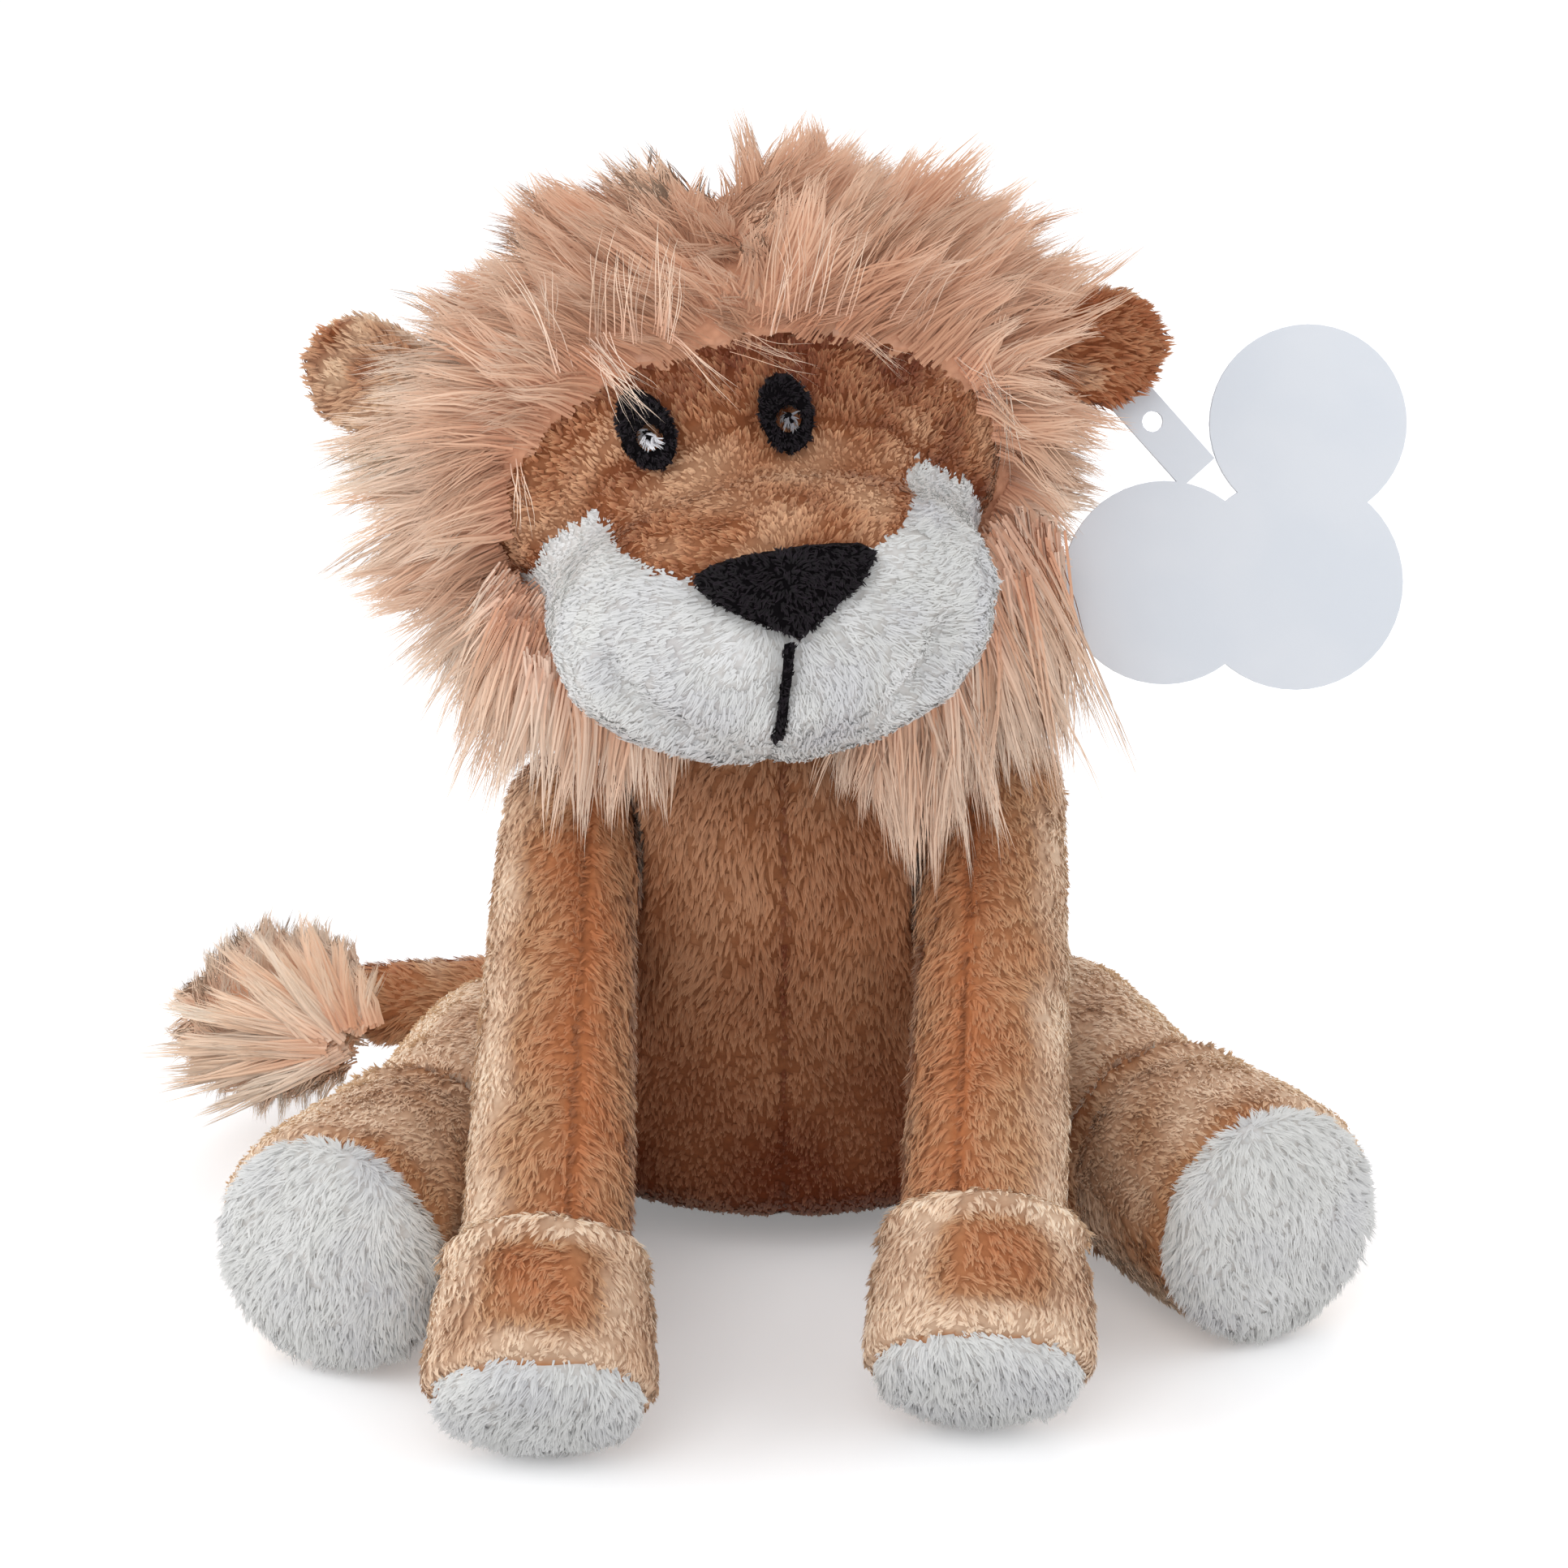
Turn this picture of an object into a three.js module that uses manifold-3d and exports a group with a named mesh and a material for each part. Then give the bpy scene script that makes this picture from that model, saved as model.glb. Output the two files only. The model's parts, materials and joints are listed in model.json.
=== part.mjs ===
// A small sitting plush lion with a blank paper tag at its ear. Millimetres, +Z up, the lion looks along -Y.
// The origin is the middle of the flat seat. Left and right are the lion's own, so left is +X.
import * as THREE from 'three';
import { mergeVertices } from 'three/addons/utils/BufferGeometryUtils.js';
import Module from 'manifold-3d';

const wasm = await Module();
wasm.setup();

// Cloth and clearances
const plushThick = 2.4;
const maneThick = 4.2;
const seamGap = 0.3;
const turnGap = 0.7;
const nodGap = 3;
const floorCut = 0.5;
const overrun = 400;

// Torso: a pear that leans forward, flat where it sits
const torso = {
  height: 86,
  wide: 76,
  deep: 58,
  seatAhead: 0,
  bellyAhead: 0,
  chestAhead: 10,
  bellyHeight: 24,
  chestHeight: 60,
  seatCap: 9,
  neckCap: 8,
  seamBehind: 5,
  pelletHeight: 15,
};
const torsoWideShares = [0.86, 0.98, 1, 0.94, 0.84, 0.74, 0.64, 0.54, 0.48];
const torsoDeepShares = [0.86, 0.98, 1, 0.96, 0.88, 0.8, 0.72, 0.62, 0.56];
const evenShares = [1, 1, 1];

// Neck: the firm plug that the head turns on
const neck = { side: -4, ahead: 13, height: 84, radius: 12 };

// Head: skull and muzzle, placed by the middle of the skull
const head = { side: -6, ahead: 12, height: 115, yawAngle: 8, rollAngle: 7 };
const skull = { wide: 76, high: 64, long: 60 };
const muzzle = { side: -0.8, ahead: 51, drop: 13, wide: 60, long: 44, high: 38, cap: 17, rootCap: 10 };

// Face, seen from the front of the head
const face = { side: 0, drop: 5.5, wide: 71, high: 54, behind: 8 };
const brow = { side: -1.5 };
const nose = { side: -0.6, drop: 5.4, wide: 23.5, high: 10.2, thick: 1.8, sunk: 0.6 };
const mouth = { wide: 1.4, drop: 11, long: 14.5, leanAngle: 11, thick: 1.2, sunk: 0.6 };
const noseShares = [
  [0, -0.5], [0.3, -0.1], [0.5, 0.28], [0.3, 0.47],
  [0, 0.5], [-0.3, 0.47], [-0.5, 0.28], [-0.3, -0.1], [0, -0.5],
];
const cheek = {
  tipSide: 22.5, tipHeight: 1.5, side: 31, drop: 8, lowSide: 28, lowDrop: 26, chinSide: 8, chinDrop: 34,
  wingSide: 11, wingHeight: -2.5,
};
const bridge = { side: 19, height: 6.5, crown: 11 };
const eye = {
  spacing: 18, side: -5, height: 11.6, wide: 7.6, high: 10.4, leanAngle: 12, thick: 1.6, sunk: 0.6,
};
const glint = { side: 0.2, drop: 0.6, wide: 2.3, thick: 1.9, sunk: 0.6 };
const mane = { behind: 12, crownAngle: 52, chinAngle: 134 };

// Ears: two layers of cloth on a rolled root that lies in a groove of the mane
const ear = {
  length: 22, wide: 16.5, layer: 2, rootRadius: 2.6, rootLength: 11,
  foldAheadAngle: 20, foldBackAngle: 15,
};
const leftEar = { side: 37.5, ahead: 2, height: 9, pointAngle: -12, turnAngle: 6 };
const rightEar = { side: 37, ahead: 2, height: 11.5, pointAngle: 24, turnAngle: 26 };

// Arms, from the shoulder's middle to the sole
const arm = {
  length: 94, root: 10, wide: 32.5, high: 27, toeOut: 0, toeCap: 6,
  cuff: 68, soleDeep: 4.5, soleAngle: 0, seam: -4, raiseAngle: 25,
};
const armWideShares = [0.58, 0.62, 0.66, 0.69, 0.71, 0.73, 0.78, 0.98, 0.98];
const armDeepShares = [0.7, 0.74, 0.78, 0.8, 0.8, 0.82, 0.88, 1, 1];
const leftArm = { side: 30, ahead: 9, height: 65, slopeAngle: 37.8, spreadAngle: -4 };
const rightArm = { side: 30, ahead: 15, height: 63, slopeAngle: 36.2, spreadAngle: 1 };

// Legs, from the hip's middle to the sole
const leg = {
  length: 68, root: 16, wide: 36, high: 36, toeOut: 4, toeCap: 7,
  cuff: 34, soleDeep: 7, soleAngle: 0,
};
const legWideShares = [0.9, 0.96, 0.97, 0.93, 0.88, 0.88, 0.95, 1, 0.97];
const legDeepShares = [0.92, 0.96, 0.96, 0.93, 0.88, 0.9, 0.97, 1, 0.98];
const leftLeg = { side: 38, ahead: -6, spreadAngle: 24 };
const rightLeg = { side: 38, ahead: 1, spreadAngle: 19 };

// Tail: a tube that comes round the right hip, with a tuft
const tail = { side: -19, behind: 28, height: 20, tube: 9, reach: 48, bend: 8, root: 5 };
const tuft = { wide: 22, long: 28, over: 6, inside: 4, sag: 3 };
const tuftShares = [0.7, 0.9, 1, 1, 0.9, 0.7];

// Tag: two leaves of card, a clover of three round lobes with a tab, measured from the fastener
const tag = {
  side: 17, behind: 4.6, drop: 5.4, tiltAngle: -16, hangAngle: -5, turnAngle: -14,
  card: 0.4, split: 0.4,
  tabWide: 6, tabOver: 2.6, tabLength: 20, hole: 2.9, holeReach: 8, middleSide: 15, middleDrop: 17,
};
const tagLobes = {
  upper: { side: 26.6, drop: 6.4, radius: 13.5 },
  inner: { side: 6.8, drop: 28, radius: 13.9 },
  outer: { side: 24.8, drop: 28.1, radius: 14.7 },
};
const fastener = { thick: 1.1, cap: 2.8, capThick: 0.6, ahead: 5.6, behind: 1.6 };

// How finely the forms are drawn
const capRings = 3;
const midRings = 5;
const profileSteps = 16;
const ballEdges = 14;
const pinEdges = 12;
const cardEdges = 48;
const limbEdges = 16;
const wholeTurn = 360;
const sharpestCorner = 0.5;

const across = new THREE.Vector3(1, 0, 0);
const inward = new THREE.Vector3(-1, 0, 0);
const upward = new THREE.Vector3(0, 0, 1);
const downward = new THREE.Vector3(0, 0, -1);
const forward = new THREE.Vector3(0, -1, 0);
const backward = new THREE.Vector3(0, 1, 0);
const degrees = Math.PI / 180;

function cloth(color, roughness = 0.95) {
  return new THREE.MeshStandardMaterial({ color, roughness, metalness: 0 });
}

const materials = {
  plush: cloth('#b98a5e'),
  bridge: cloth('#c39a6c'),
  white: cloth('#e9e8ee'),
  mane: cloth('#dcb795'),
  earInside: cloth('#9a4f2c'),
  thread: cloth('#16131c', 0.6),
  glint: cloth('#d8d8e2', 0.5),
  stuffing: cloth('#f2f0ea'),
  pellets: cloth('#cfd3d6', 0.5),
  card: cloth('#eceef5', 0.7),
  plastic: cloth('#f4f4f2', 0.3),
};

// Solids: a closed geometry becomes a solid that can be joined and cut, and back
function solid(geometry) {
  const bare = geometry.clone();
  bare.deleteAttribute('normal');
  bare.deleteAttribute('uv');
  const merged = mergeVertices(bare);
  return new wasm.Manifold(new wasm.Mesh({
    numProp: 3,
    vertProperties: new Float32Array(merged.attributes.position.array),
    triVerts: new Uint32Array(merged.index.array),
  }));
}

function geometryOf(shape) {
  const mesh = shape.getMesh();
  const geometry = new THREE.BufferGeometry();
  geometry.setAttribute('position', new THREE.BufferAttribute(new Float32Array(mesh.vertProperties), 3));
  geometry.setIndex(new THREE.BufferAttribute(new Uint32Array(mesh.triVerts), 1));
  geometry.computeVertexNormals();
  return geometry;
}

// The value of a row of shares at a place from 0 to 1
function shareAt(shares, place) {
  const points = shares.map((share, index) => new THREE.Vector2(index / (shares.length - 1), share));
  return new THREE.SplineCurve(points).getPoint(place).y;
}

// Where the rings of a form lie along its length, close together in the rounded caps at its two ends
function ringPlaces(length, startCap, endCap) {
  const quarter = Math.PI / 2;
  const cap = Array.from({ length: capRings }, (_, index) => (
    1 - Math.cos((quarter * (index + 1)) / capRings)
  ));
  const start = cap.map((share) => share * startCap);
  const end = cap.map((share) => length - share * endCap).reverse();
  const straight = length - startCap - endCap;
  const step = straight / (midRings + 1);
  const middle = Array.from({ length: midRings }, (_, index) => startCap + step * (index + 1));
  return straight > seamGap ? [...start, ...middle, ...end] : [...start, ...end.slice(1)];
}

// How far a form has opened at a place along it: nothing at its ends, all of it past its caps
function openedAt(place, length, startCap, endCap) {
  const before = Math.max(0, 1 - place / startCap);
  const after = Math.max(0, 1 - (length - place) / endCap);
  return Math.sqrt(Math.max(0, 1 - before * before)) * Math.sqrt(Math.max(0, 1 - after * after));
}

// A form that swells and tapers along a path. inset makes it smaller all over, and less than zero larger.
function swell(form, inset = 0, edges = form.edges) {
  const curve = new THREE.CatmullRomCurve3(form.path);
  const length = curve.getLength();
  const points = [];
  const ringAt = (place, opened) => {
    const share = place / length;
    const tangent = curve.getTangentAt(share);
    const centre = curve.getPointAt(share).addScaledVector(tangent, inset * (1 - 2 * share));
    const side = across.clone().addScaledVector(tangent, -across.dot(tangent)).normalize();
    const deep = new THREE.Vector3().crossVectors(tangent, side);
    const halfWide = ((form.wide / 2) * shareAt(form.wideShares, share) - inset) * opened;
    const halfDeep = ((form.deep / 2) * shareAt(form.deepShares, share) - inset) * opened;
    const count = opened > 0 ? edges : 1;
    for (let step = 0; step < count; step += 1) {
      const angle = (2 * Math.PI * step) / edges;
      points.push(
        centre.clone()
          .addScaledVector(side, halfWide * Math.cos(angle))
          .addScaledVector(deep, halfDeep * Math.sin(angle)),
      );
    }
  };
  const places = ringPlaces(length, form.startCap, form.endCap);
  ringAt(0, 0);
  places.forEach((place) => ringAt(place, openedAt(place, length, form.startCap, form.endCap)));
  ringAt(length, 0);
  const last = points.length - 1;
  const faces = [];
  const at = (ring, step) => 1 + ring * edges + (step % edges);
  for (let step = 0; step < edges; step += 1) {
    faces.push(0, at(0, step + 1), at(0, step));
    faces.push(last, at(places.length - 1, step), at(places.length - 1, step + 1));
    for (let ring = 0; ring + 1 < places.length; ring += 1) {
      faces.push(at(ring, step), at(ring, step + 1), at(ring + 1, step + 1));
      faces.push(at(ring, step), at(ring + 1, step + 1), at(ring + 1, step));
    }
  }
  const geometry = new THREE.BufferGeometry().setFromPoints(points);
  geometry.setIndex(faces);
  return geometry;
}

// Cutters
function ball(radius) {
  return new THREE.SphereGeometry(radius, ballEdges, ballEdges / 2);
}

function beyond(axis, from) {
  // Everything past a plane square to an axis, at a place along it
  const geometry = new THREE.BoxGeometry(2 * overrun, 2 * overrun, overrun);
  geometry.translate(0, 0, overrun / 2 + from);
  const turn = new THREE.Quaternion().setFromUnitVectors(upward, axis);
  return geometry.applyQuaternion(turn);
}

function prism(shape, from, to) {
  // An outline drawn in the head's X and Z, drawn out along Y
  const geometry = new THREE.ExtrudeGeometry(shape, {
    depth: to - from, bevelEnabled: false, curveSegments: profileSteps / 4,
  });
  geometry.rotateX(Math.PI / 2);
  return geometry.translate(0, to, 0);
}

// Frames: a geometry given in the root's frame, seen from inside a turned group
function insideFrame(geometry, group) {
  return geometry.clone().applyMatrix4(group.matrixWorld.clone().invert());
}

function outsideFrame(geometry, group) {
  return geometry.clone().applyMatrix4(group.matrixWorld);
}

const lion = new THREE.Group();

function frameAt(x, y, z, turnX, turnY, turnZ, parent = lion) {
  const group = new THREE.Group();
  group.rotation.order = 'ZXY';
  group.position.set(x, y, z);
  group.rotation.set(turnX * degrees, turnY * degrees, turnZ * degrees);
  parent.add(group);
  group.updateWorldMatrix(true, false);
  return group;
}

function place(group, name, shape, material) {
  const mesh = new THREE.Mesh(geometryOf(shape), material.clone());
  mesh.name = name;
  group.add(mesh);
}

// Everything of a form that lies above the floor, made smaller all over by inset
function fill(form, frame, inset = 0) {
  const below = insideFrame(beyond(downward, -inset), frame);
  return solid(swell(form, inset, inset > 0 ? form.edges / 2 : form.edges)).subtract(solid(below));
}

function shell(form, frame, thick) {
  return fill(form, frame).subtract(fill(form, frame, thick));
}

function half(axis, from = 0) {
  return solid(beyond(axis, from + seamGap / 2));
}

// Frames of the parts that move
const headFrame = frameAt(head.side, -head.ahead, head.height, 0, -head.rollAngle, head.yawAngle);
function armFrame(size, way) {
  return frameAt(way * size.side, -size.ahead, size.height, size.slopeAngle, 0, way * size.spreadAngle);
}
const armFrames = { left: armFrame(leftArm, 1), right: armFrame(rightArm, -1) };
const legRise = leg.high / 2 - floorCut;
function legFrame(size, way) {
  return frameAt(way * size.side, -size.ahead, legRise, 0, 0, way * size.spreadAngle);
}
const legFrames = { left: legFrame(leftLeg, 1), right: legFrame(rightLeg, -1) };
const tailFrame = frameAt(tail.side, tail.behind, tail.height, 0, 0, 0);
function earFrame(size, way) {
  const [point, turn] = [way * size.pointAngle, way * size.turnAngle];
  return frameAt(way * size.side, -size.ahead, size.height, 0, -point, turn, headFrame);
}
const earFrames = { left: earFrame(leftEar, 1), right: earFrame(rightEar, -1) };
const tagFrame = frameAt(
  tag.side, tag.behind, -tag.drop, tag.tiltAngle, tag.hangAngle, tag.turnAngle, earFrames.left,
);

// Forms
const torsoForm = {
  path: [
    new THREE.Vector3(0, -torso.seatAhead, -floorCut),
    new THREE.Vector3(0, -torso.bellyAhead, torso.bellyHeight),
    new THREE.Vector3(0, -torso.chestAhead, torso.chestHeight),
    new THREE.Vector3(neck.side, -neck.ahead, torso.height),
  ],
  wide: torso.wide,
  deep: torso.deep,
  wideShares: torsoWideShares,
  deepShares: torsoDeepShares,
  startCap: torso.seatCap,
  endCap: torso.neckCap,
  edges: 20,
};

const skullForm = {
  path: [new THREE.Vector3(0, -skull.long / 2, 0), new THREE.Vector3(0, skull.long / 2, 0)],
  wide: skull.wide,
  deep: skull.high,
  wideShares: evenShares,
  deepShares: evenShares,
  startCap: skull.long / 2,
  endCap: skull.long / 2,
  edges: 20,
};

const muzzleForm = {
  path: [
    new THREE.Vector3(muzzle.side, muzzle.long - muzzle.ahead, -muzzle.drop),
    new THREE.Vector3(muzzle.side, -muzzle.ahead, -muzzle.drop),
  ],
  wide: muzzle.wide,
  deep: muzzle.high,
  wideShares: evenShares,
  deepShares: evenShares,
  startCap: muzzle.rootCap,
  endCap: muzzle.cap,
  edges: 16,
};

function limbForm(size, wideShares, deepShares, way) {
  return {
    path: [
      new THREE.Vector3(0, size.root, 0),
      new THREE.Vector3(0, -size.length / 2, 0),
      new THREE.Vector3(way * size.toeOut, -size.length, 0),
    ],
    wide: size.wide,
    deep: size.high,
    wideShares,
    deepShares,
    startCap: size.root,
    endCap: size.toeCap,
    edges: limbEdges,
  };
}

const armForms = {
  left: limbForm(arm, armWideShares, armDeepShares, 1),
  right: limbForm(arm, armWideShares, armDeepShares, -1),
};
const legForms = {
  left: limbForm(leg, legWideShares, legDeepShares, 1),
  right: limbForm(leg, legWideShares, legDeepShares, -1),
};

const tailForm = {
  path: [
    new THREE.Vector3(tail.root, 0, 0),
    new THREE.Vector3(-tail.reach / 2, -tail.bend / 2, 0),
    new THREE.Vector3(-tail.reach, -tail.bend, 0),
  ],
  wide: tail.tube,
  deep: tail.tube,
  wideShares: evenShares,
  deepShares: evenShares,
  startCap: tail.root,
  endCap: tail.tube / 2,
  edges: 10,
};

const tuftForm = {
  path: [
    new THREE.Vector3(tuft.over - tail.reach, -tail.bend, 0),
    new THREE.Vector3(tuft.over - tail.reach - tuft.long, -tail.bend, -tuft.sag),
  ],
  wide: tuft.wide,
  deep: tuft.wide,
  wideShares: tuftShares,
  deepShares: tuftShares,
  startCap: tuft.wide / 3,
  endCap: tuft.wide / 2,
  edges: 12,
};

function headBody(inset, coarser = 1) {
  const skullSolid = solid(swell(skullForm, inset, skullForm.edges / coarser));
  return skullSolid.add(solid(swell(muzzleForm, inset, muzzleForm.edges / coarser)));
}

// Torso
function cutForNeighbours(shape) {
  const taken = [solid(ball(neck.radius + turnGap).translate(neck.side, -neck.ahead, neck.height))];
  for (const side of ['left', 'right']) {
    for (const raise of [0, arm.raiseAngle / 2, arm.raiseAngle]) {
      const raised = swell(armForms[side], -turnGap).rotateX(-raise * degrees);
      taken.push(solid(outsideFrame(raised, armFrames[side])));
    }
    taken.push(solid(outsideFrame(swell(legForms[side], -turnGap), legFrames[side])));
  }
  taken.push(solid(outsideFrame(swell(tailForm, -turnGap), tailFrame)));
  taken.push(solid(outsideFrame(swell(skullForm, plushThick - maneThick - nodGap), headFrame)));
  return taken.reduce((rest, cutter) => rest.subtract(cutter), shape);
}

function buildTorso() {
  const skin = cutForNeighbours(shell(torsoForm, lion, plushThick));
  const belly = skin.intersect(half(forward, -torso.seamBehind));
  place(lion, 'back_panel', skin.intersect(half(backward, torso.seamBehind)), materials.plush);
  place(lion, 'belly_left', belly.intersect(half(across)), materials.plush);
  place(lion, 'belly_right', belly.intersect(half(inward)), materials.plush);
  const core = cutForNeighbours(fill(torsoForm, lion, plushThick + seamGap));
  place(lion, 'torso_stuffing', core.intersect(half(upward, torso.pelletHeight)), materials.stuffing);
  place(lion, 'pellet_bag', core.intersect(half(downward, -torso.pelletHeight)), materials.pellets);
}

// Neck plug, on the axis that the head turns about
function buildNeck() {
  const plug = ball(neck.radius).translate(neck.side, -neck.ahead, neck.height);
  place(lion, 'neck_plug', solid(plug), materials.stuffing);
}

// Outlines on the face, as points in the head's X and Z
function spline(points, steps) {
  return new THREE.SplineCurve(points.map(([x, z]) => new THREE.Vector2(x, z))).getPoints(steps);
}

function oval(side, height, wide, high, lean = 0, steps = profileSteps) {
  const turn = lean * degrees;
  const curve = new THREE.EllipseCurve(side, height, wide / 2, high / 2, 0, 2 * Math.PI, false, turn);
  return curve.getPoints(steps).slice(1);
}

function grown(points, by) {
  // The outline moved outward by a distance; the points run anticlockwise
  return points.map((point, index) => {
    const before = points[(index + points.length - 1) % points.length];
    const after = points[(index + 1) % points.length];
    const first = new THREE.Vector2(point.y - before.y, before.x - point.x).normalize();
    const second = new THREE.Vector2(after.y - point.y, point.x - after.x).normalize();
    const middle = first.clone().add(second).normalize();
    return point.clone().addScaledVector(middle, by / Math.max(middle.dot(first), sharpestCorner));
  });
}

function frontPrism(points, by = 0) {
  return solid(prism(new THREE.Shape(grown(points, by)), -overrun, -face.behind));
}

const eyeOutlines = {
  left: oval(eye.side + eye.spacing / 2, eye.height, eye.wide, eye.high, eye.leanAngle / 2),
  right: oval(eye.side - eye.spacing / 2, eye.height, eye.wide, eye.high, eye.leanAngle),
};
const glintOutlines = {
  left: oval(eye.side + eye.spacing / 2 + glint.side, eye.height - glint.drop, glint.wide, glint.wide),
  right: oval(eye.side - eye.spacing / 2 + glint.side, eye.height - glint.drop, glint.wide, glint.wide),
};
const faceOutline = oval(face.side, -face.drop, face.wide, face.high);
const noseOutline = spline(
  noseShares.map(([x, z]) => [nose.side + nose.wide * x, nose.high * z - nose.drop]),
  profileSteps,
).slice(1);

// Where the seam between the cheeks runs, at a distance below the head's middle
function seamSide(drop) {
  return nose.side - (drop - nose.drop) * Math.tan(mouth.leanAngle * degrees);
}

function cheekOutline(way) {
  const edge = spline([
    [nose.side + way * cheek.tipSide, cheek.tipHeight],
    [nose.side + way * cheek.side, -cheek.drop],
    [nose.side + way * cheek.lowSide, -cheek.lowDrop],
    [nose.side + way * cheek.chinSide, -cheek.chinDrop],
  ], profileSteps / 2);
  const points = [
    new THREE.Vector2(seamSide(cheek.chinDrop) + (way * seamGap) / 2, -cheek.chinDrop),
    new THREE.Vector2(nose.side + (way * seamGap) / 2, -nose.drop),
    new THREE.Vector2(nose.side + way * cheek.wingSide, cheek.wingHeight),
    ...edge,
  ];
  return way > 0 ? points.reverse() : points;
}

const bridgeOutline = [
  [nose.side, -nose.drop],
  [nose.side + cheek.wingSide, cheek.wingHeight],
  [nose.side + cheek.tipSide, cheek.tipHeight],
  [nose.side + bridge.side, bridge.height],
  [nose.side, bridge.crown],
  [nose.side - bridge.side, bridge.height],
  [nose.side - cheek.tipSide, cheek.tipHeight],
  [nose.side - cheek.wingSide, cheek.wingHeight],
].map(([x, z]) => new THREE.Vector2(x, z));

const mouthEnd = mouth.drop + mouth.long;
const mouthOutline = [
  [seamSide(mouthEnd) - mouth.wide / 2, -mouthEnd],
  [seamSide(mouthEnd) + mouth.wide / 2, -mouthEnd],
  [seamSide(mouth.drop) + mouth.wide / 2, -mouth.drop],
  [seamSide(mouth.drop) - mouth.wide / 2, -mouth.drop],
].map(([x, z]) => new THREE.Vector2(x, z));

// A stitched patch that lies on the face, sunk a little into the cloth
function patch(outline, size, holes = []) {
  const band = headBody(size.sunk - size.thick).subtract(headBody(size.sunk));
  return holes.reduce(
    (rest, hole) => rest.subtract(frontPrism(hole, seamGap)),
    band.intersect(frontPrism(outline)),
  );
}

function pocket(shape, outline, size) {
  return shape.subtract(frontPrism(outline, seamGap).subtract(headBody(size.sunk + seamGap)));
}

// A wedge about the head's Y axis, measured from straight up
function wedge(from, to) {
  const points = [from, (from + to) / 2, to].map((angle) => (
    new THREE.Vector2(overrun * Math.sin(angle * degrees), overrun * Math.cos(angle * degrees))
  ));
  const middle = ((from + to) / 2) * degrees;
  const shift = seamGap / 2 / Math.sin(((to - from) / 2) * degrees);
  const shape = new THREE.Shape([new THREE.Vector2(0, 0), ...points]);
  const geometry = prism(shape, -overrun, overrun);
  return solid(geometry.translate(shift * Math.sin(middle), 0, shift * Math.cos(middle)));
}

function buildHead() {
  const socket = solid(
    insideFrame(ball(neck.radius + turnGap).translate(neck.side, -neck.ahead, neck.height), headFrame),
  );
  const skin = headBody(0).subtract(headBody(plushThick, 2)).intersect(frontPrism(faceOutline, -seamGap / 2));
  const patches = [
    { outline: noseOutline, size: nose },
    { outline: mouthOutline, size: mouth },
    { outline: eyeOutlines.left, size: eye },
    { outline: eyeOutlines.right, size: eye },
  ];
  const finish = (shape) => patches.reduce((rest, { outline, size }) => pocket(rest, outline, size), shape);
  const cheeks = { left: cheekOutline(1), right: cheekOutline(-1) };
  const faceRest = [cheeks.left, cheeks.right, bridgeOutline].reduce(
    (rest, outline) => rest.subtract(frontPrism(outline, seamGap)),
    skin,
  ).subtract(socket);
  place(headFrame, 'face_left', finish(faceRest.intersect(half(across, brow.side))), materials.plush);
  place(headFrame, 'face_right', finish(faceRest.intersect(half(inward, -brow.side))), materials.plush);
  const bridgePiece = skin.intersect(frontPrism(bridgeOutline))
    .subtract(frontPrism(cheeks.left, seamGap))
    .subtract(frontPrism(cheeks.right, seamGap));
  place(headFrame, 'bridge', finish(bridgePiece), materials.bridge);
  for (const side of ['left', 'right']) {
    const cheekPiece = skin.intersect(frontPrism(cheeks[side])).subtract(socket);
    place(headFrame, `cheek_${side}`, finish(cheekPiece), materials.white);
    place(headFrame, `eye_${side}`, patch(eyeOutlines[side], eye, [glintOutlines[side]]), materials.thread);
    place(headFrame, `glint_${side}`, patch(glintOutlines[side], glint), materials.glint);
  }
  place(headFrame, 'nose', patch(noseOutline, nose), materials.thread);
  place(headFrame, 'mouth', patch(mouthOutline, mouth), materials.thread);
  const core = headBody(plushThick + seamGap, 2)
    .subtract(socket)
    .subtract(earGroove('left', 1))
    .subtract(earGroove('right', -1));
  place(headFrame, 'head_stuffing', core, materials.stuffing);
}

// The long-pile cloth round the face and over the back of the head
function buildMane() {
  const socket = solid(
    insideFrame(ball(neck.radius + turnGap).translate(neck.side, -neck.ahead, neck.height), headFrame),
  );
  let cover = solid(swell(skullForm, plushThick - maneThick))
    .subtract(solid(swell(skullForm, plushThick, skullForm.edges / 2)))
    .subtract(frontPrism(faceOutline, seamGap / 2))
    .subtract(solid(swell(muzzleForm, -seamGap)))
    .subtract(socket);
  for (const side of ['left', 'right']) {
    cover = cover.subtract(earGroove(side, side === 'left' ? 1 : -1));
  }
  const ring = cover.intersect(half(forward, -mane.behind));
  place(headFrame, 'mane_back', cover.intersect(half(backward, mane.behind)), materials.mane);
  place(headFrame, 'mane_crown', ring.intersect(wedge(-mane.crownAngle, mane.crownAngle)), materials.mane);
  place(headFrame, 'mane_left', ring.intersect(wedge(mane.crownAngle, mane.chinAngle)), materials.mane);
  const chin = ring.intersect(wedge(mane.chinAngle, wholeTurn - mane.chinAngle));
  place(headFrame, 'mane_chin', chin, materials.mane);
  place(headFrame, 'mane_right', ring.intersect(wedge(-mane.chinAngle, -mane.crownAngle)), materials.mane);
}

// Ears
function rootRoll(grow = 0) {
  const radius = ear.rootRadius + grow;
  return new THREE.CylinderGeometry(radius, radius, ear.rootLength + 2 * grow, pinEdges).rotateX(Math.PI / 2);
}

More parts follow.
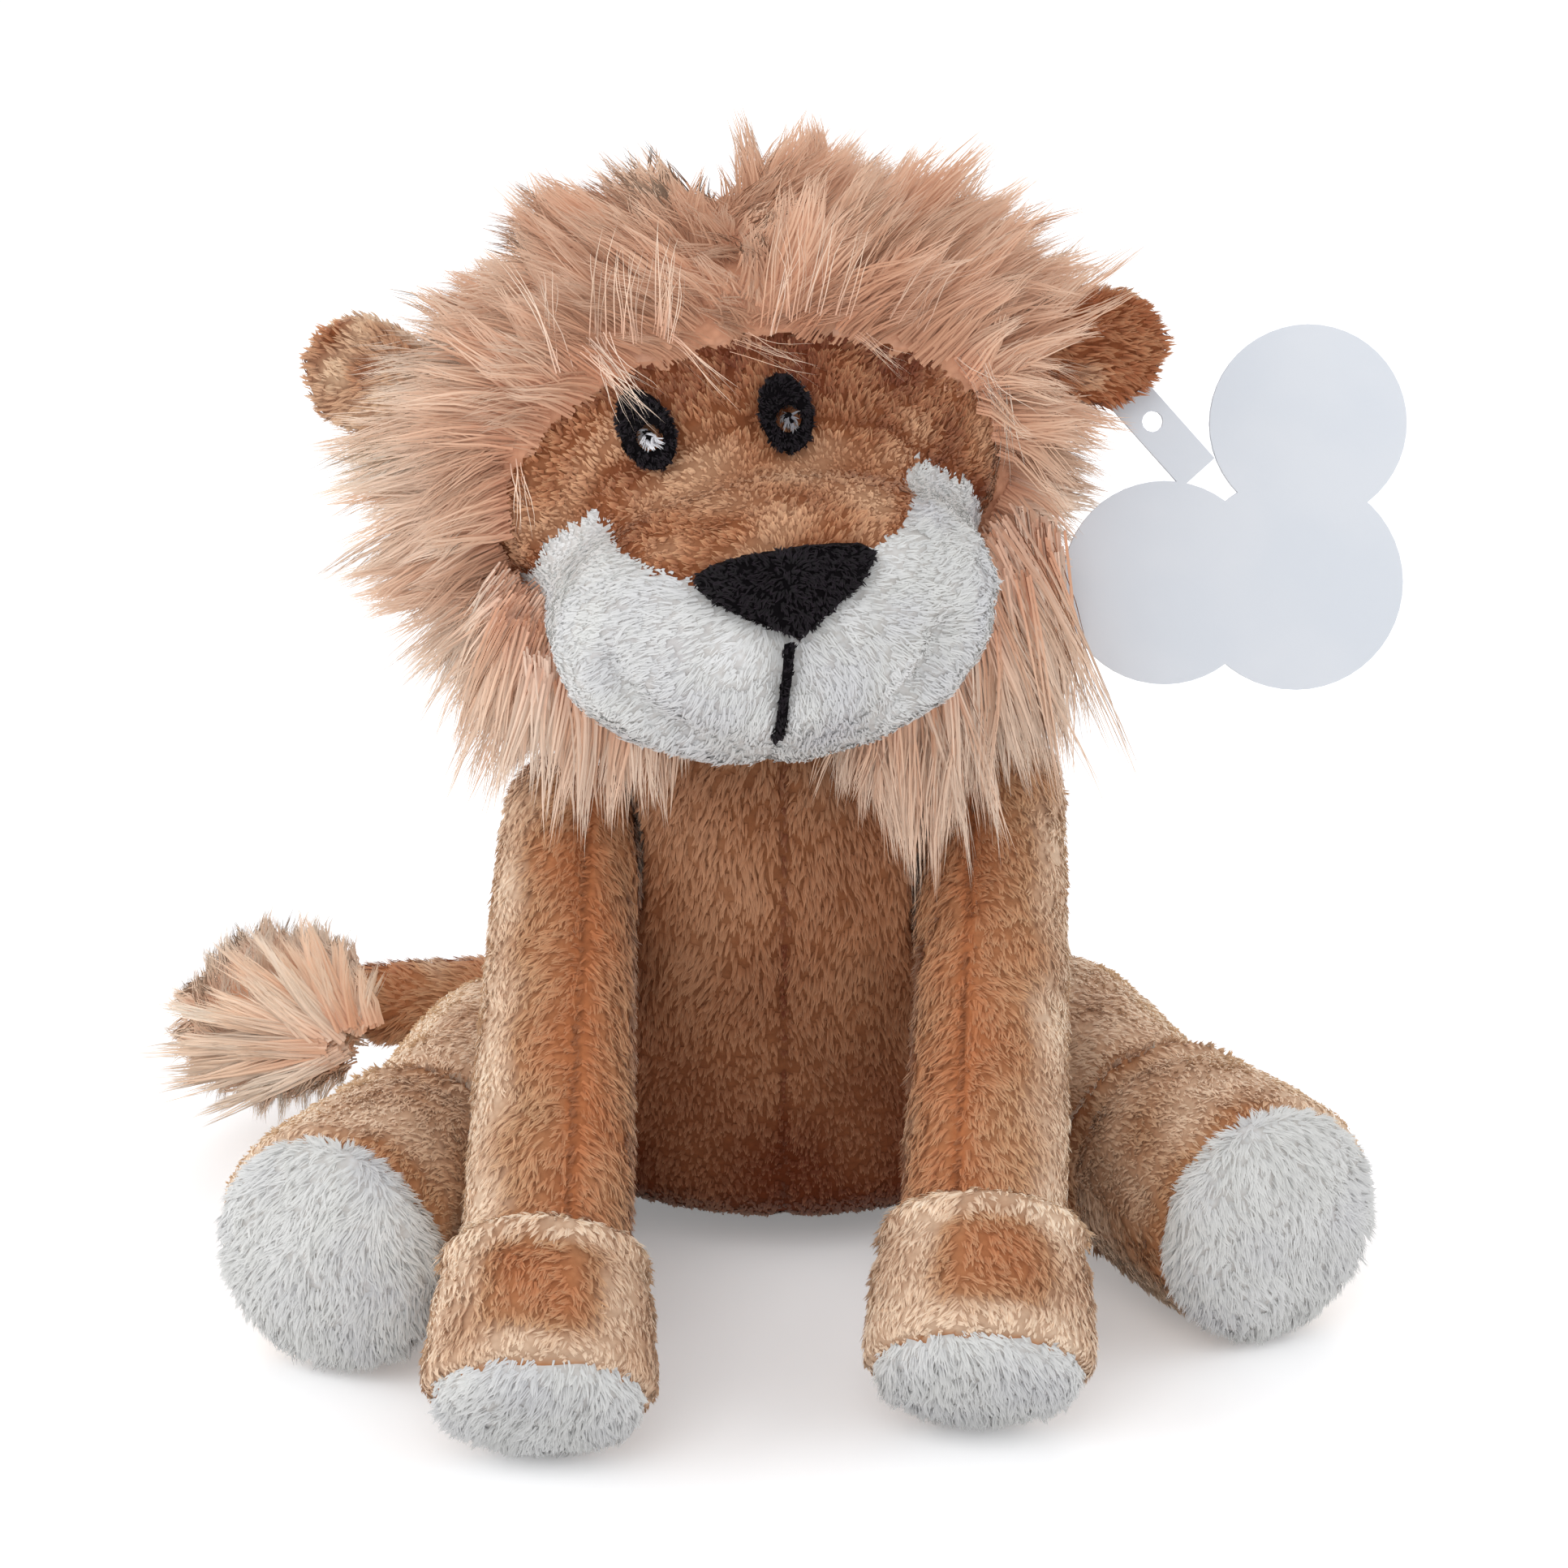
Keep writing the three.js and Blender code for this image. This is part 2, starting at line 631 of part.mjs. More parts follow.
function earLayer(way, from, to, start, grow = 0) {
  const shape = new THREE.Shape();
  const bend = ear.length - ear.wide / 2;
  shape.moveTo(start, -ear.rootLength / 2 - grow);
  shape.lineTo(bend, -ear.wide / 2 - grow);
  shape.absarc(bend, 0, ear.wide / 2 + grow, -Math.PI / 2, Math.PI / 2, false);
  shape.lineTo(start, ear.rootLength / 2 + grow);
  const geometry = prism(shape, from - grow, to + grow);
  return way > 0 ? geometry : geometry.rotateZ(Math.PI);
}

// What an ear needs free in the mane, at rest and as it folds
function earGroove(side, way) {
  const halfThick = seamGap / 2 + ear.layer;
  const folds = [-ear.foldBackAngle, -ear.foldBackAngle / 2, 0, ear.foldAheadAngle / 2, ear.foldAheadAngle];
  return folds.map((fold) => {
    const leaf = solid(earLayer(way, -halfThick, halfThick, 0, turnGap).rotateZ(-way * fold * degrees)
      .applyMatrix4(earFrames[side].matrix));
    return leaf.add(solid(rootRoll(turnGap).applyMatrix4(earFrames[side].matrix)));
  }).reduce((all, one) => all.add(one));
}

function buildEar(side, way) {
  const frame = earFrames[side];
  const [near, far] = [seamGap / 2, seamGap / 2 + ear.layer];
  const [from, to] = way > 0 ? [near, far] : [-far, -near];
  let back = solid(earLayer(way, from, to, 0)).add(solid(rootRoll()));
  let front = solid(earLayer(way, -to, -from, ear.rootRadius + seamGap));
  if (side === 'left') {
    const free = solid(fastenerShape(seamGap).applyMatrix4(tagFrame.matrix));
    back = back.subtract(free);
    front = front.subtract(free);
  }
  place(frame, `ear_${side}_back`, back, materials.plush);
  place(frame, `ear_${side}_front`, front, materials.earInside);
}

// Limbs: skin above and below the cuff, with a white sole on the end
function buildLimb(name, frame, form, size, endName) {
  const skin = shell(form, frame, plushThick);
  const lower = skin.intersect(half(forward, size.cuff));
  const facing = forward.clone().applyAxisAngle(across, size.soleAngle * degrees);
  const soleAt = size.length - size.soleDeep;
  const behindSole = half(facing.clone().negate(), -soleAt);
  place(frame, `${name}_${endName}`, lower.intersect(behindSole), materials.plush);
  place(frame, `${name}_sole`, lower.intersect(half(facing, soleAt)), materials.white);
  place(frame, `${name}_stuffing`, fill(form, frame, plushThick + seamGap), materials.stuffing);
  return skin.intersect(half(backward, -size.cuff));
}

function buildArm(side, way) {
  const frame = armFrames[side];
  const upper = buildLimb(`arm_${side}`, frame, armForms[side], arm, 'paw');
  const outer = way > 0 ? across : inward;
  const inner = way > 0 ? inward : across;
  place(frame, `arm_${side}_sleeve_outer`, upper.intersect(half(outer, arm.seam)), materials.plush);
  place(frame, `arm_${side}_sleeve_inner`, upper.intersect(half(inner, -arm.seam)), materials.plush);
}

function buildLeg(side) {
  const upper = buildLimb(`leg_${side}`, legFrames[side], legForms[side], leg, 'foot');
  place(legFrames[side], `leg_${side}_thigh`, upper, materials.plush);
}

// Tail
function buildTail() {
  const tubeEnd = tuft.inside - tail.reach;
  const open = half(across, tubeEnd);
  const tube = solid(swell(tailForm)).subtract(solid(swell(tailForm, plushThick, tailForm.edges / 2)));
  const core = solid(swell(tailForm, plushThick + seamGap, tailForm.edges / 2));
  const seat = solid(swell(tailForm, -seamGap)).intersect(solid(beyond(across, tubeEnd - seamGap / 2)));
  place(tailFrame, 'tail_tube', tube.intersect(open), materials.plush);
  place(tailFrame, 'tail_core', core.intersect(open), materials.stuffing);
  place(tailFrame, 'tail_tuft', solid(swell(tuftForm)).subtract(seat), materials.mane);
}

// Tag
function disc(side, drop, radius, from, to) {
  const steps = radius > tag.tabWide ? cardEdges : pinEdges;
  return solid(prism(new THREE.Shape(oval(side, -drop, 2 * radius, 2 * radius, 0, steps)), from, to));
}

function tagLeaf(from, to) {
  const lobes = Object.values(tagLobes).map((lobe) => disc(lobe.side, lobe.drop, lobe.radius, from, to));
  const centres = Object.values(tagLobes).map((lobe) => new THREE.Vector2(lobe.side, -lobe.drop));
  const middle = new THREE.Shape(centres);
  const lean = Math.atan2(tag.middleSide, tag.middleDrop);
  const tab = new THREE.BoxGeometry(tag.tabWide, to - from, tag.tabLength);
  tab.translate(0, (from + to) / 2, tag.tabOver - tag.tabLength / 2);
  tab.rotateY(-lean);
  const [holeSide, holeDrop] = [tag.holeReach * Math.sin(lean), tag.holeReach * Math.cos(lean)];
  return [...lobes, solid(prism(middle, from, to)), solid(tab)]
    .reduce((all, one) => all.add(one))
    .subtract(disc(holeSide, holeDrop, tag.hole / 2, -overrun, overrun))
    .subtract(disc(0, 0, fastener.thick / 2 + seamGap, -overrun, overrun));
}

// The plastic fastener: a pin with a cap at each end, one inside the ear and one behind the tag
function fastenerShape(grow = 0) {
  const pin = fastener.thick / 2 + grow;
  const cap = fastener.cap / 2 + grow;
  const [start, end] = [-fastener.ahead - grow, fastener.behind + grow];
  const capThick = fastener.capThick + 2 * grow;
  return new THREE.LatheGeometry([
    new THREE.Vector2(0, start),
    new THREE.Vector2(cap, start),
    new THREE.Vector2(cap, start + capThick),
    new THREE.Vector2(pin, start + capThick),
    new THREE.Vector2(pin, end - capThick),
    new THREE.Vector2(cap, end - capThick),
    new THREE.Vector2(cap, end),
    new THREE.Vector2(0, end),
  ], pinEdges);
}

function buildTag() {
  place(tagFrame, 'tag_front', tagLeaf(-tag.split / 2 - tag.card, -tag.split / 2), materials.card);
  place(tagFrame, 'tag_back', tagLeaf(tag.split / 2, tag.split / 2 + tag.card), materials.card);
  place(tagFrame, 'tag_fastener', solid(fastenerShape()), materials.plastic);
}

buildTorso();
buildNeck();
buildHead();
buildMane();
buildArm('left', 1);
buildArm('right', -1);
buildLeg('left');
buildLeg('right');
buildTail();
buildEar('left', 1);
buildEar('right', -1);
buildTag();

export default lion;
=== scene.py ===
import json
import math

import bmesh
import bpy
import numpy as np
from mathutils import Matrix, Vector
from mathutils.bvhtree import BVHTree

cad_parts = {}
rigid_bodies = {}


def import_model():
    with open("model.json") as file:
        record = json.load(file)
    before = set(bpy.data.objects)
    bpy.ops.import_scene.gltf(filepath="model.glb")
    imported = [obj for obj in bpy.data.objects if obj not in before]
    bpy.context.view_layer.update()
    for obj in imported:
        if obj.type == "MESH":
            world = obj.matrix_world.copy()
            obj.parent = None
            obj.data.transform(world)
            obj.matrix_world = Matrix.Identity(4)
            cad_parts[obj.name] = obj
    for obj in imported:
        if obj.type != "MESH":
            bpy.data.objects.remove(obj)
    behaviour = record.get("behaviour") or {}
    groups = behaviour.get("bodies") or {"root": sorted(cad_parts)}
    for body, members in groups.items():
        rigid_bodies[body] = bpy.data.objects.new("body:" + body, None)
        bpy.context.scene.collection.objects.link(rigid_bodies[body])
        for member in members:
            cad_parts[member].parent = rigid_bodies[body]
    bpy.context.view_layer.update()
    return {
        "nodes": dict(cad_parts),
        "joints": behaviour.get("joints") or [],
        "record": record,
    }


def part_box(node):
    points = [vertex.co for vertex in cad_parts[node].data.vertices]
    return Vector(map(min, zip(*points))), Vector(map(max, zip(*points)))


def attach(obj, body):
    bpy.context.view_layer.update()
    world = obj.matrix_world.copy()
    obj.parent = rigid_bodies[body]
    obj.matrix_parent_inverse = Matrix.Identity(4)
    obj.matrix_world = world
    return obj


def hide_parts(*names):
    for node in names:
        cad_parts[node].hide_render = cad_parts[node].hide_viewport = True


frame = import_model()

# A sitting plush lion: padded skins in the CAD solids' places, with a pile of small mesh tufts on them.
# Metres, +Z up, the lion looks along -Y, its own left is +X.
mm = 0.001
tiny = 1e-7
bodies = frame["record"]["behaviour"]["bodies"]
joints = {joint["name"]: joint for joint in frame["joints"]}


# Plain helpers

def linkPiece(name, mesh):
    piece = bpy.data.objects.new(name, mesh)
    bpy.context.scene.collection.objects.link(piece)
    return piece


def appliedMesh(piece):
    # the piece's mesh with its modifiers in it
    graph = bpy.context.evaluated_depsgraph_get()
    return bpy.data.meshes.new_from_object(piece.evaluated_get(graph))


def pointsOf(mesh, what="co"):
    values = np.empty(len(mesh.vertices) * 3)
    mesh.vertices.foreach_get(what, values)
    return values.reshape(-1, 3)


def unit(vectors):
    return vectors / np.maximum(np.linalg.norm(vectors, axis=-1, keepdims=True), 0.01 * tiny)


def smoothStep(values, low, high):
    t = np.clip((values - low) / (high - low), 0, 1)
    return t * t * (3 - 2 * t)


def fade(values, width):
    # one where the values are zero, and less away from it
    return np.exp(-((values / width) ** 2))


def dot(first, second):
    return (first * second).sum(-1, keepdims=True)


def drift(points, size, seed):
    # smooth random values, mostly between -1 and 1, that change over a distance of about size
    rng = np.random.default_rng(seed)
    waves = unit(rng.normal(size=(7, 3))) * (2 * math.pi / size) * rng.uniform(0.6, 1.5, (7, 1))
    return np.sin(points @ waves.T + rng.uniform(0, 6.3, 7)).sum(1) / 2.6


def driftWays(points, size, seed):
    # the same for each of three directions
    return np.stack([drift(points, size, seed + axis) for axis in range(3)], 1)


def middleOf(node):
    low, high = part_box(node)
    return np.array((low + high) / 2)


# Shader nodes

def newNode(tree, kind, inputs=None):
    # a shader node, with a value or another node's socket for each input named
    node = tree.nodes.new("ShaderNode" + kind)
    for label, value in (inputs or {}).items():
        feed(tree, value, node.inputs[label])
    return node


def feed(tree, value, socket):
    if hasattr(value, "links"):
        tree.links.new(value, socket)
    else:
        socket.default_value = value


def mathNode(tree, operation, *values, clamp=False):
    node = newNode(tree, "Math", dict(enumerate(values)))
    node.operation = operation
    node.use_clamp = clamp
    return node.outputs[0]


def mapRange(tree, source, low, high, toLow=0.0, toHigh=1.0):
    limits = {"From Min": low, "From Max": high, "To Min": toLow, "To Max": toHigh}
    node = newNode(tree, "MapRange", {"Value": source, **limits})
    node.interpolation_type = "SMOOTHSTEP"
    return node.outputs["Result"]


def mixColours(tree, factor, first, second, blend="MIX"):
    node = newNode(tree, "Mix")
    node.data_type = "RGBA"
    node.blend_type = blend
    for value, label, kind in ((factor, "Factor", "VALUE"), (first, "A", "RGBA"), (second, "B", "RGBA")):
        feed(tree, value, [s for s in node.inputs if s.name == label and s.type == kind][0])
    return [s for s in node.outputs if s.type == "RGBA"][0]


def seenDirectly(tree):
    # 1 for what the camera sees, straight or in a gloss or through glass
    path = newNode(tree, "LightPath").outputs
    straight = mathNode(tree, "MAXIMUM", path["Is Camera Ray"], path["Is Glossy Ray"])
    return mathNode(tree, "MAXIMUM", straight, path["Is Transmission Ray"])


def newPaint(name):
    # a material, its node tree and its Principled BSDF
    paint = bpy.data.materials.new(name)
    paint.use_nodes = True
    return paint, paint.node_tree, paint.node_tree.nodes["Principled BSDF"]


# Camera and light

def pointAt(thing, place, target):
    thing.location = place
    look = Vector(target) - Vector(place)
    thing.rotation_euler = look.to_track_quat("-Z", "Y").to_euler()
    bpy.context.scene.collection.objects.link(thing)


cameraFacts = {
    "place": (0, -0.6318, 0.2923),
    "target": (0, -0.021, 0.070),
    "lens": 109.6,
    "sensor": 36,
}
camera = bpy.data.objects.new("camera", bpy.data.cameras.new("camera"))
camera.data.lens = cameraFacts["lens"]
camera.data.sensor_width = cameraFacts["sensor"]
pointAt(camera, cameraFacts["place"], cameraFacts["target"])
bpy.context.scene.camera = camera

lampFacts = {
    "target": (0, -0.03, 0.07), "size": 0.8,
    "lamps": {
        "key": {"place": (-0.25, -0.85, 0.85), "power": 4.2},
        "left": {"place": (-0.85, -0.25, 0.45), "power": 3.9},
        "right": {"place": (0.85, -0.3, 0.45), "power": 2.8},
        "back": {"place": (0.1, 0.75, 0.7), "power": 3.0},
    },
    "world": 0.58, "worldTint": (0.97, 0.98, 1, 1),
}
for name, facts in lampFacts["lamps"].items():
    lamp = bpy.data.lights.new(name, "AREA")
    lamp.size = lampFacts["size"]
    lamp.energy = facts["power"]
    pointAt(bpy.data.objects.new(name, lamp), facts["place"], lampFacts["target"])

# the world lights the lion softly, and the camera sees it white
world = bpy.data.worlds.new("studio")
bpy.context.scene.world = world
world.use_nodes = True
sky = world.node_tree
sky.nodes.clear()
lit = newNode(sky, "Background", {"Strength": lampFacts["world"], "Color": lampFacts["worldTint"]})
shown = newNode(sky, "Background", {"Strength": 1})
mixWorld = newNode(sky, "MixShader", {0: seenDirectly(sky), 1: lit.outputs[0], 2: shown.outputs[0]})
newNode(sky, "OutputWorld", {0: mixWorld.outputs[0]})

floorFacts = {"half": 6, "drop": 0.3 * mm, "colour": (0.95, 0.95, 0.96, 1), "glow": 0.22}
floorShape = bmesh.new()
floorPlace = Matrix.Translation((0, 0, -floorFacts["drop"]))
bmesh.ops.create_grid(floorShape, x_segments=1, y_segments=1, size=floorFacts["half"], matrix=floorPlace)
floorMesh = bpy.data.meshes.new("floor")
floorShape.to_mesh(floorMesh)
floorShape.free()
floor = linkPiece("floor", floorMesh)
floorPaint, floorTree, floorBase = newPaint("paleFloor")
floorBase.inputs["Base Color"].default_value = floorFacts["colour"]
floorBase.inputs["Roughness"].default_value = 1
floorBase.inputs["Specular IOR Level"].default_value = 0
floorGlow = newNode(floorTree, "Emission", {"Strength": floorFacts["glow"]})
floorSum = newNode(floorTree, "AddShader", {0: floorBase.outputs[0], 1: floorGlow.outputs[0]})
floorMix = newNode(
    floorTree, "MixShader", {0: seenDirectly(floorTree), 1: floorBase.outputs[0], 2: floorSum.outputs[0]},
)
feed(floorTree, floorMix.outputs[0], floorTree.nodes["Material Output"].inputs["Surface"])
floorMesh.materials.append(floorPaint)
print("stage set")


# Materials

def newGroup(name, inputs, outputs):
    group = bpy.data.node_groups.new(name, "ShaderNodeTree")
    for label, value in inputs.items():
        kind = "NodeSocketColor" if isinstance(value, tuple) else "NodeSocketFloat"
        group.interface.new_socket(label, in_out="INPUT", socket_type=kind).default_value = value
    for label, kind in outputs.items():
        group.interface.new_socket(label, in_out="OUTPUT", socket_type="NodeSocket" + kind)
    return group, group.nodes.new("NodeGroupInput").outputs, group.nodes.new("NodeGroupOutput").inputs


def attributeOf(tree, name):
    node = newNode(tree, "Attribute")
    node.attribute_name = name
    return node.outputs["Fac"]


# the colour of a hair: root, middle and tip, another tint and painted shade where tone is above zero, partings and
# deep painted shade where it passes one, pale hair and painted light where it is below zero, and a value of its own
# for each tuft
hairColour, hairIn, hairOut = newGroup(
    "hairColour",
    {
        "Root": (0.2, 0.1, 0.05, 1), "Middle": (0.4, 0.2, 0.1, 1), "Tip": (0.7, 0.5, 0.3, 1),
        "Patch": (0.4, 0.15, 0.05, 1), "Pale": (0.7, 0.6, 0.5, 1), "Parting": (0.2, 0.1, 0.05, 1),
        "Patch Amount": 0.4, "Patch Size": 90.0, "Spread": 0.3,
    },
    {"Colour": "Color"},
)


def fillHairColour(tree, given, out):
    strand, lock, tone = (attributeOf(tree, name) for name in ("strand", "lock", "tone"))
    rootShare = mapRange(tree, strand, 0.0, 0.5)
    tipShare = mapRange(tree, strand, 0.4, 1.0)
    full = mixColours(tree, tipShare, mixColours(tree, rootShare, given["Root"], given["Middle"]), given["Tip"])
    place = newNode(tree, "TexCoord").outputs["Object"]
    noise = newNode(tree, "TexNoise", {"Detail": 3, "Vector": place, "Scale": given["Patch Size"]})
    patchy = mapRange(tree, noise.outputs["Fac"], 0.42, 0.66)
    patch = mathNode(tree, "MULTIPLY_ADD", patchy, given["Patch Amount"], tone, clamp=True)
    tipFree = mathNode(tree, "MULTIPLY_ADD", tipShare, -0.45, 1.0)
    patched = mixColours(tree, mathNode(tree, "MULTIPLY", patch, tipFree), full, given["Patch"])
    pale = mathNode(tree, "MULTIPLY", tone, -1.0, clamp=True)
    paleShare = mathNode(tree, "MULTIPLY_ADD", rootShare, 0.3, 0.7)
    paled = mixColours(tree, mathNode(tree, "MULTIPLY", pale, paleShare), patched, given["Pale"])
    parting = mathNode(tree, "SUBTRACT", tone, 1.0, clamp=True)
    parted = mixColours(tree, parting, paled, given["Parting"])
    centred = mathNode(tree, "SUBTRACT", lock, 0.5)
    value = mathNode(tree, "MULTIPLY_ADD", centred, given["Spread"], 1.0)
    shade = newNode(tree, "HueSaturation", {"Value": value, "Color": parted})
    feed(tree, shade.outputs["Color"], out["Colour"])


fillHairColour(hairColour, hairIn, hairOut)

# cloth under the pile: a knitted ground that shows only where the pile parts
knit, knitIn, knitOut = newGroup(
    "knitGround", {"Colour": (0.3, 0.15, 0.08, 1), "Loops": 900.0}, {"Colour": "Color", "Height": "Float"},
)
knitPlace = newNode(knit, "TexCoord").outputs["Object"]
knitCells = newNode(knit, "TexVoronoi", {"Vector": knitPlace, "Scale": knitIn["Loops"]}).outputs["Distance"]
knitDark = mapRange(knit, knitCells, 0.1, 0.7)
feed(knit, mixColours(knit, knitDark, knitIn["Colour"], (0.88, 0.85, 0.83, 1), "MULTIPLY"), knitOut["Colour"])
feed(knit, knitCells, knitOut["Height"])


def linear(red, green, blue):
    # a colour as it shows, from 0 to 255, in the shader's own values
    light = [((c / 255 + 0.055) / 1.055) ** 2.4 if c > 10 else c / 255 / 12.92 for c in (red, green, blue)]
    return (*light, 1)


# what a paint has unless its own row says otherwise: its sheen, and how much light the pile lets through
usualHair = {
    "roughness": 0.65, "sheen": 0.5, "sheenRoughness": 0.35, "sheenTint": (1, 0.88, 0.74, 1), "through": 0.78,
}
# colours as they show, from 0 to 255
hairPaints = {
    "tanPile": {
        "Root": (178, 129, 93), "Middle": (193, 147, 110), "Tip": (207, 167, 129),
        "Patch": (184, 116, 75), "Pale": (246, 227, 203), "Parting": (140, 86, 56),
        "Patch Amount": 0.2, "Patch Size": 45.0, "Spread": 0.12,
    },
    # painted shade: a darker copy of the tan pile for the belly, which lies between the arms and under the head
    "bellyPile": {
        "Root": (152, 99, 66), "Middle": (167, 114, 80), "Tip": (183, 133, 99),
        "Patch": (104, 50, 26), "Pale": (206, 164, 130), "Parting": (84, 44, 28),
        "Patch Amount": 0.2, "Patch Size": 45.0, "Spread": 0.1,
    },
    "facePile": {
        "Root": (146, 89, 57), "Middle": (172, 116, 81), "Tip": (198, 148, 109),
        "Patch": (108, 54, 32), "Pale": (226, 186, 150), "Parting": (96, 52, 32),
        "Patch Amount": 0.3, "Patch Size": 90.0, "Spread": 0.24,
    },
    "whitePile": {
        "Root": (206, 206, 204), "Middle": (212, 212, 209), "Tip": (219, 219, 216),
        "Patch": (206, 206, 210), "Pale": (236, 236, 237), "Parting": (172, 170, 173),
        "Patch Amount": 0.3, "Patch Size": 60.0, "Spread": 0.05, "sheen": 0.2, "through": 0.85,
        "sheenTint": (1, 1, 1, 1),
    },
    "maneHair": {
        "Root": (216, 160, 129), "Middle": (228, 187, 158), "Tip": (236, 206, 182),
        "Patch": (200, 150, 120), "Pale": (246, 230, 213), "Parting": (196, 132, 100),
        "Patch Amount": 0.25, "Patch Size": 40.0, "Spread": 0.1, "sheen": 0.12, "through": 0.85,
    },
    # painted light: a paler copy of the mane's hair for the tail's tuft, which the lamps leave dim
    "tuftHair": {
        "Root": (230, 180, 148), "Middle": (240, 204, 176), "Tip": (248, 221, 196),
        "Patch": (222, 172, 140), "Pale": (253, 240, 224), "Parting": (206, 146, 114),
        "Patch Amount": 0.25, "Patch Size": 40.0, "Spread": 0.08, "sheen": 0.12, "through": 0.88,
    },
    "earPile": {
        "Root": (140, 82, 52), "Middle": (172, 112, 76), "Tip": (194, 142, 104),
        "Patch": (150, 84, 50), "Pale": (222, 190, 158), "Parting": (100, 54, 34),
        "Patch Amount": 0.4, "Patch Size": 90.0, "Spread": 0.18,
    },
    "blackPile": {
        "Root": (6, 3, 6), "Middle": (14, 8, 13), "Tip": (34, 24, 33),
        "Patch": (12, 6, 12), "Pale": (34, 24, 33), "Parting": (6, 3, 6),
        "Patch Amount": 0.3, "Patch Size": 200.0, "Spread": 0.5, "sheen": 0.03, "through": 0,
    },
    "glintThread": {
        "Root": (150, 148, 154), "Middle": (205, 205, 210), "Tip": (244, 244, 247),
        "Patch": (120, 118, 124), "Pale": (60, 56, 62), "Parting": (40, 36, 42),
        "Patch Amount": 0.2, "Patch Size": 900.0, "Spread": 0.3,
    },
}


def hairTint(tree, facts):
    tint = newNode(tree, "Group")
    tint.node_tree = hairColour
    for label, value in facts.items():
        if label[0].isupper():
            tint.inputs[label].default_value = linear(*value) if isinstance(value, tuple) else value
    return tint.outputs["Colour"]


def hairMaterial(name):
    facts = {**usualHair, **hairPaints[name]}
    paint, tree, base = newPaint(name)
    feed(tree, hairTint(tree, facts), base.inputs["Base Color"])
    base.inputs["Roughness"].default_value = facts["roughness"]
    base.inputs["Specular IOR Level"].default_value = 0.2
    base.inputs["Sheen Weight"].default_value = facts["sheen"]
    base.inputs["Sheen Roughness"].default_value = facts["sheenRoughness"]
    base.inputs["Sheen Tint"].default_value = facts["sheenTint"]
    # light goes partly through the fine hair, so the pile's own shadows stay soft
    shadow = newNode(tree, "LightPath").outputs["Is Shadow Ray"]
    feed(tree, mathNode(tree, "MULTIPLY_ADD", shadow, -facts["through"], 1.0), base.inputs["Alpha"])
    return paint


def groundMaterial(name):
    # the cloth has the tint of the roots of its pile
    paint, tree, base = newPaint(name + "Ground")
    cloth = newNode(tree, "Group")
    cloth.node_tree = knit
    feed(tree, hairTint(tree, hairPaints[name]), cloth.inputs["Colour"])
    bump = newNode(tree, "Bump", {"Strength": 0.5, "Distance": 0.0004, "Height": cloth.outputs["Height"]})
    feed(tree, cloth.outputs["Colour"], base.inputs["Base Color"])
    feed(tree, bump.outputs["Normal"], base.inputs["Normal"])
    base.inputs["Roughness"].default_value = 0.9
    base.inputs["Specular IOR Level"].default_value = 0.1
    return paint


hairMaterials = {name: hairMaterial(name) for name in hairPaints}
groundMaterials = {name: groundMaterial(name) for name in hairPaints if name != "glintThread"}
print("materials made")


# Padded skins

def keepOuter(mesh):
    # the inner walls that the even mesh keeps are dropped
    shape = bmesh.new()
    shape.from_mesh(mesh)
    left = set(shape.verts)
    shells = []
    while left:
        start = left.pop()
        shell, edge = [start], [start]
        while edge:
            vert = edge.pop()
            for link in vert.link_edges:
                other = link.other_vert(vert)
                if other in left:
                    left.discard(other)
                    shell.append(other)
                    edge.append(other)
        shells.append(shell)
    shells.sort(key=len)
    for shell in shells[:-1]:
        bmesh.ops.delete(shape, geom=shell, context="VERTS")
    shape.to_mesh(mesh)
    shape.free()


def paddedSkin(name, nodes, voxel, rounds):
    shape = bmesh.new()
    for node in nodes:
        shape.from_mesh(frame["nodes"][node].data)
    bmesh.ops.remove_doubles(shape, verts=shape.verts[:], dist=10 * tiny)
    mesh = bpy.data.meshes.new(name)
    shape.to_mesh(mesh)
    shape.free()
    piece = linkPiece(name, mesh)
    even = piece.modifiers.new("even", "REMESH")
    even.mode = "VOXEL"
    even.voxel_size = voxel
    soft = piece.modifiers.new("soft", "SMOOTH")
    soft.factor = 0.5
    soft.iterations = rounds
    piece.data = appliedMesh(piece)
    piece.data.name = name
    piece.modifiers.clear()
    keepOuter(piece.data)
    piece.data.shade_smooth()
    return piece


def moveAlong(piece, amounts):
    # every point along its normal by its own amount
    mesh = piece.data
    mesh.vertices.foreach_set("co", (pointsOf(mesh) + pointsOf(mesh, "normal") * amounts[:, None]).ravel())
    mesh.update()


def treeOf(nodes):
    points, faces = [], []
    for node in nodes:
        mesh = frame["nodes"][node].data
        start = len(points)
        points.extend(tuple(v.co) for v in mesh.vertices)
        faces.extend(tuple(start + i for i in p.vertices) for p in mesh.polygons)
    return BVHTree.FromPolygons(points, faces)


def distancesTo(points, nodes):
    tree = treeOf(nodes)
    return np.array([tree.find_nearest(p)[3] for p in points])


# Tufts: a few small clumps of blades for each kind of pile, copied over the skin

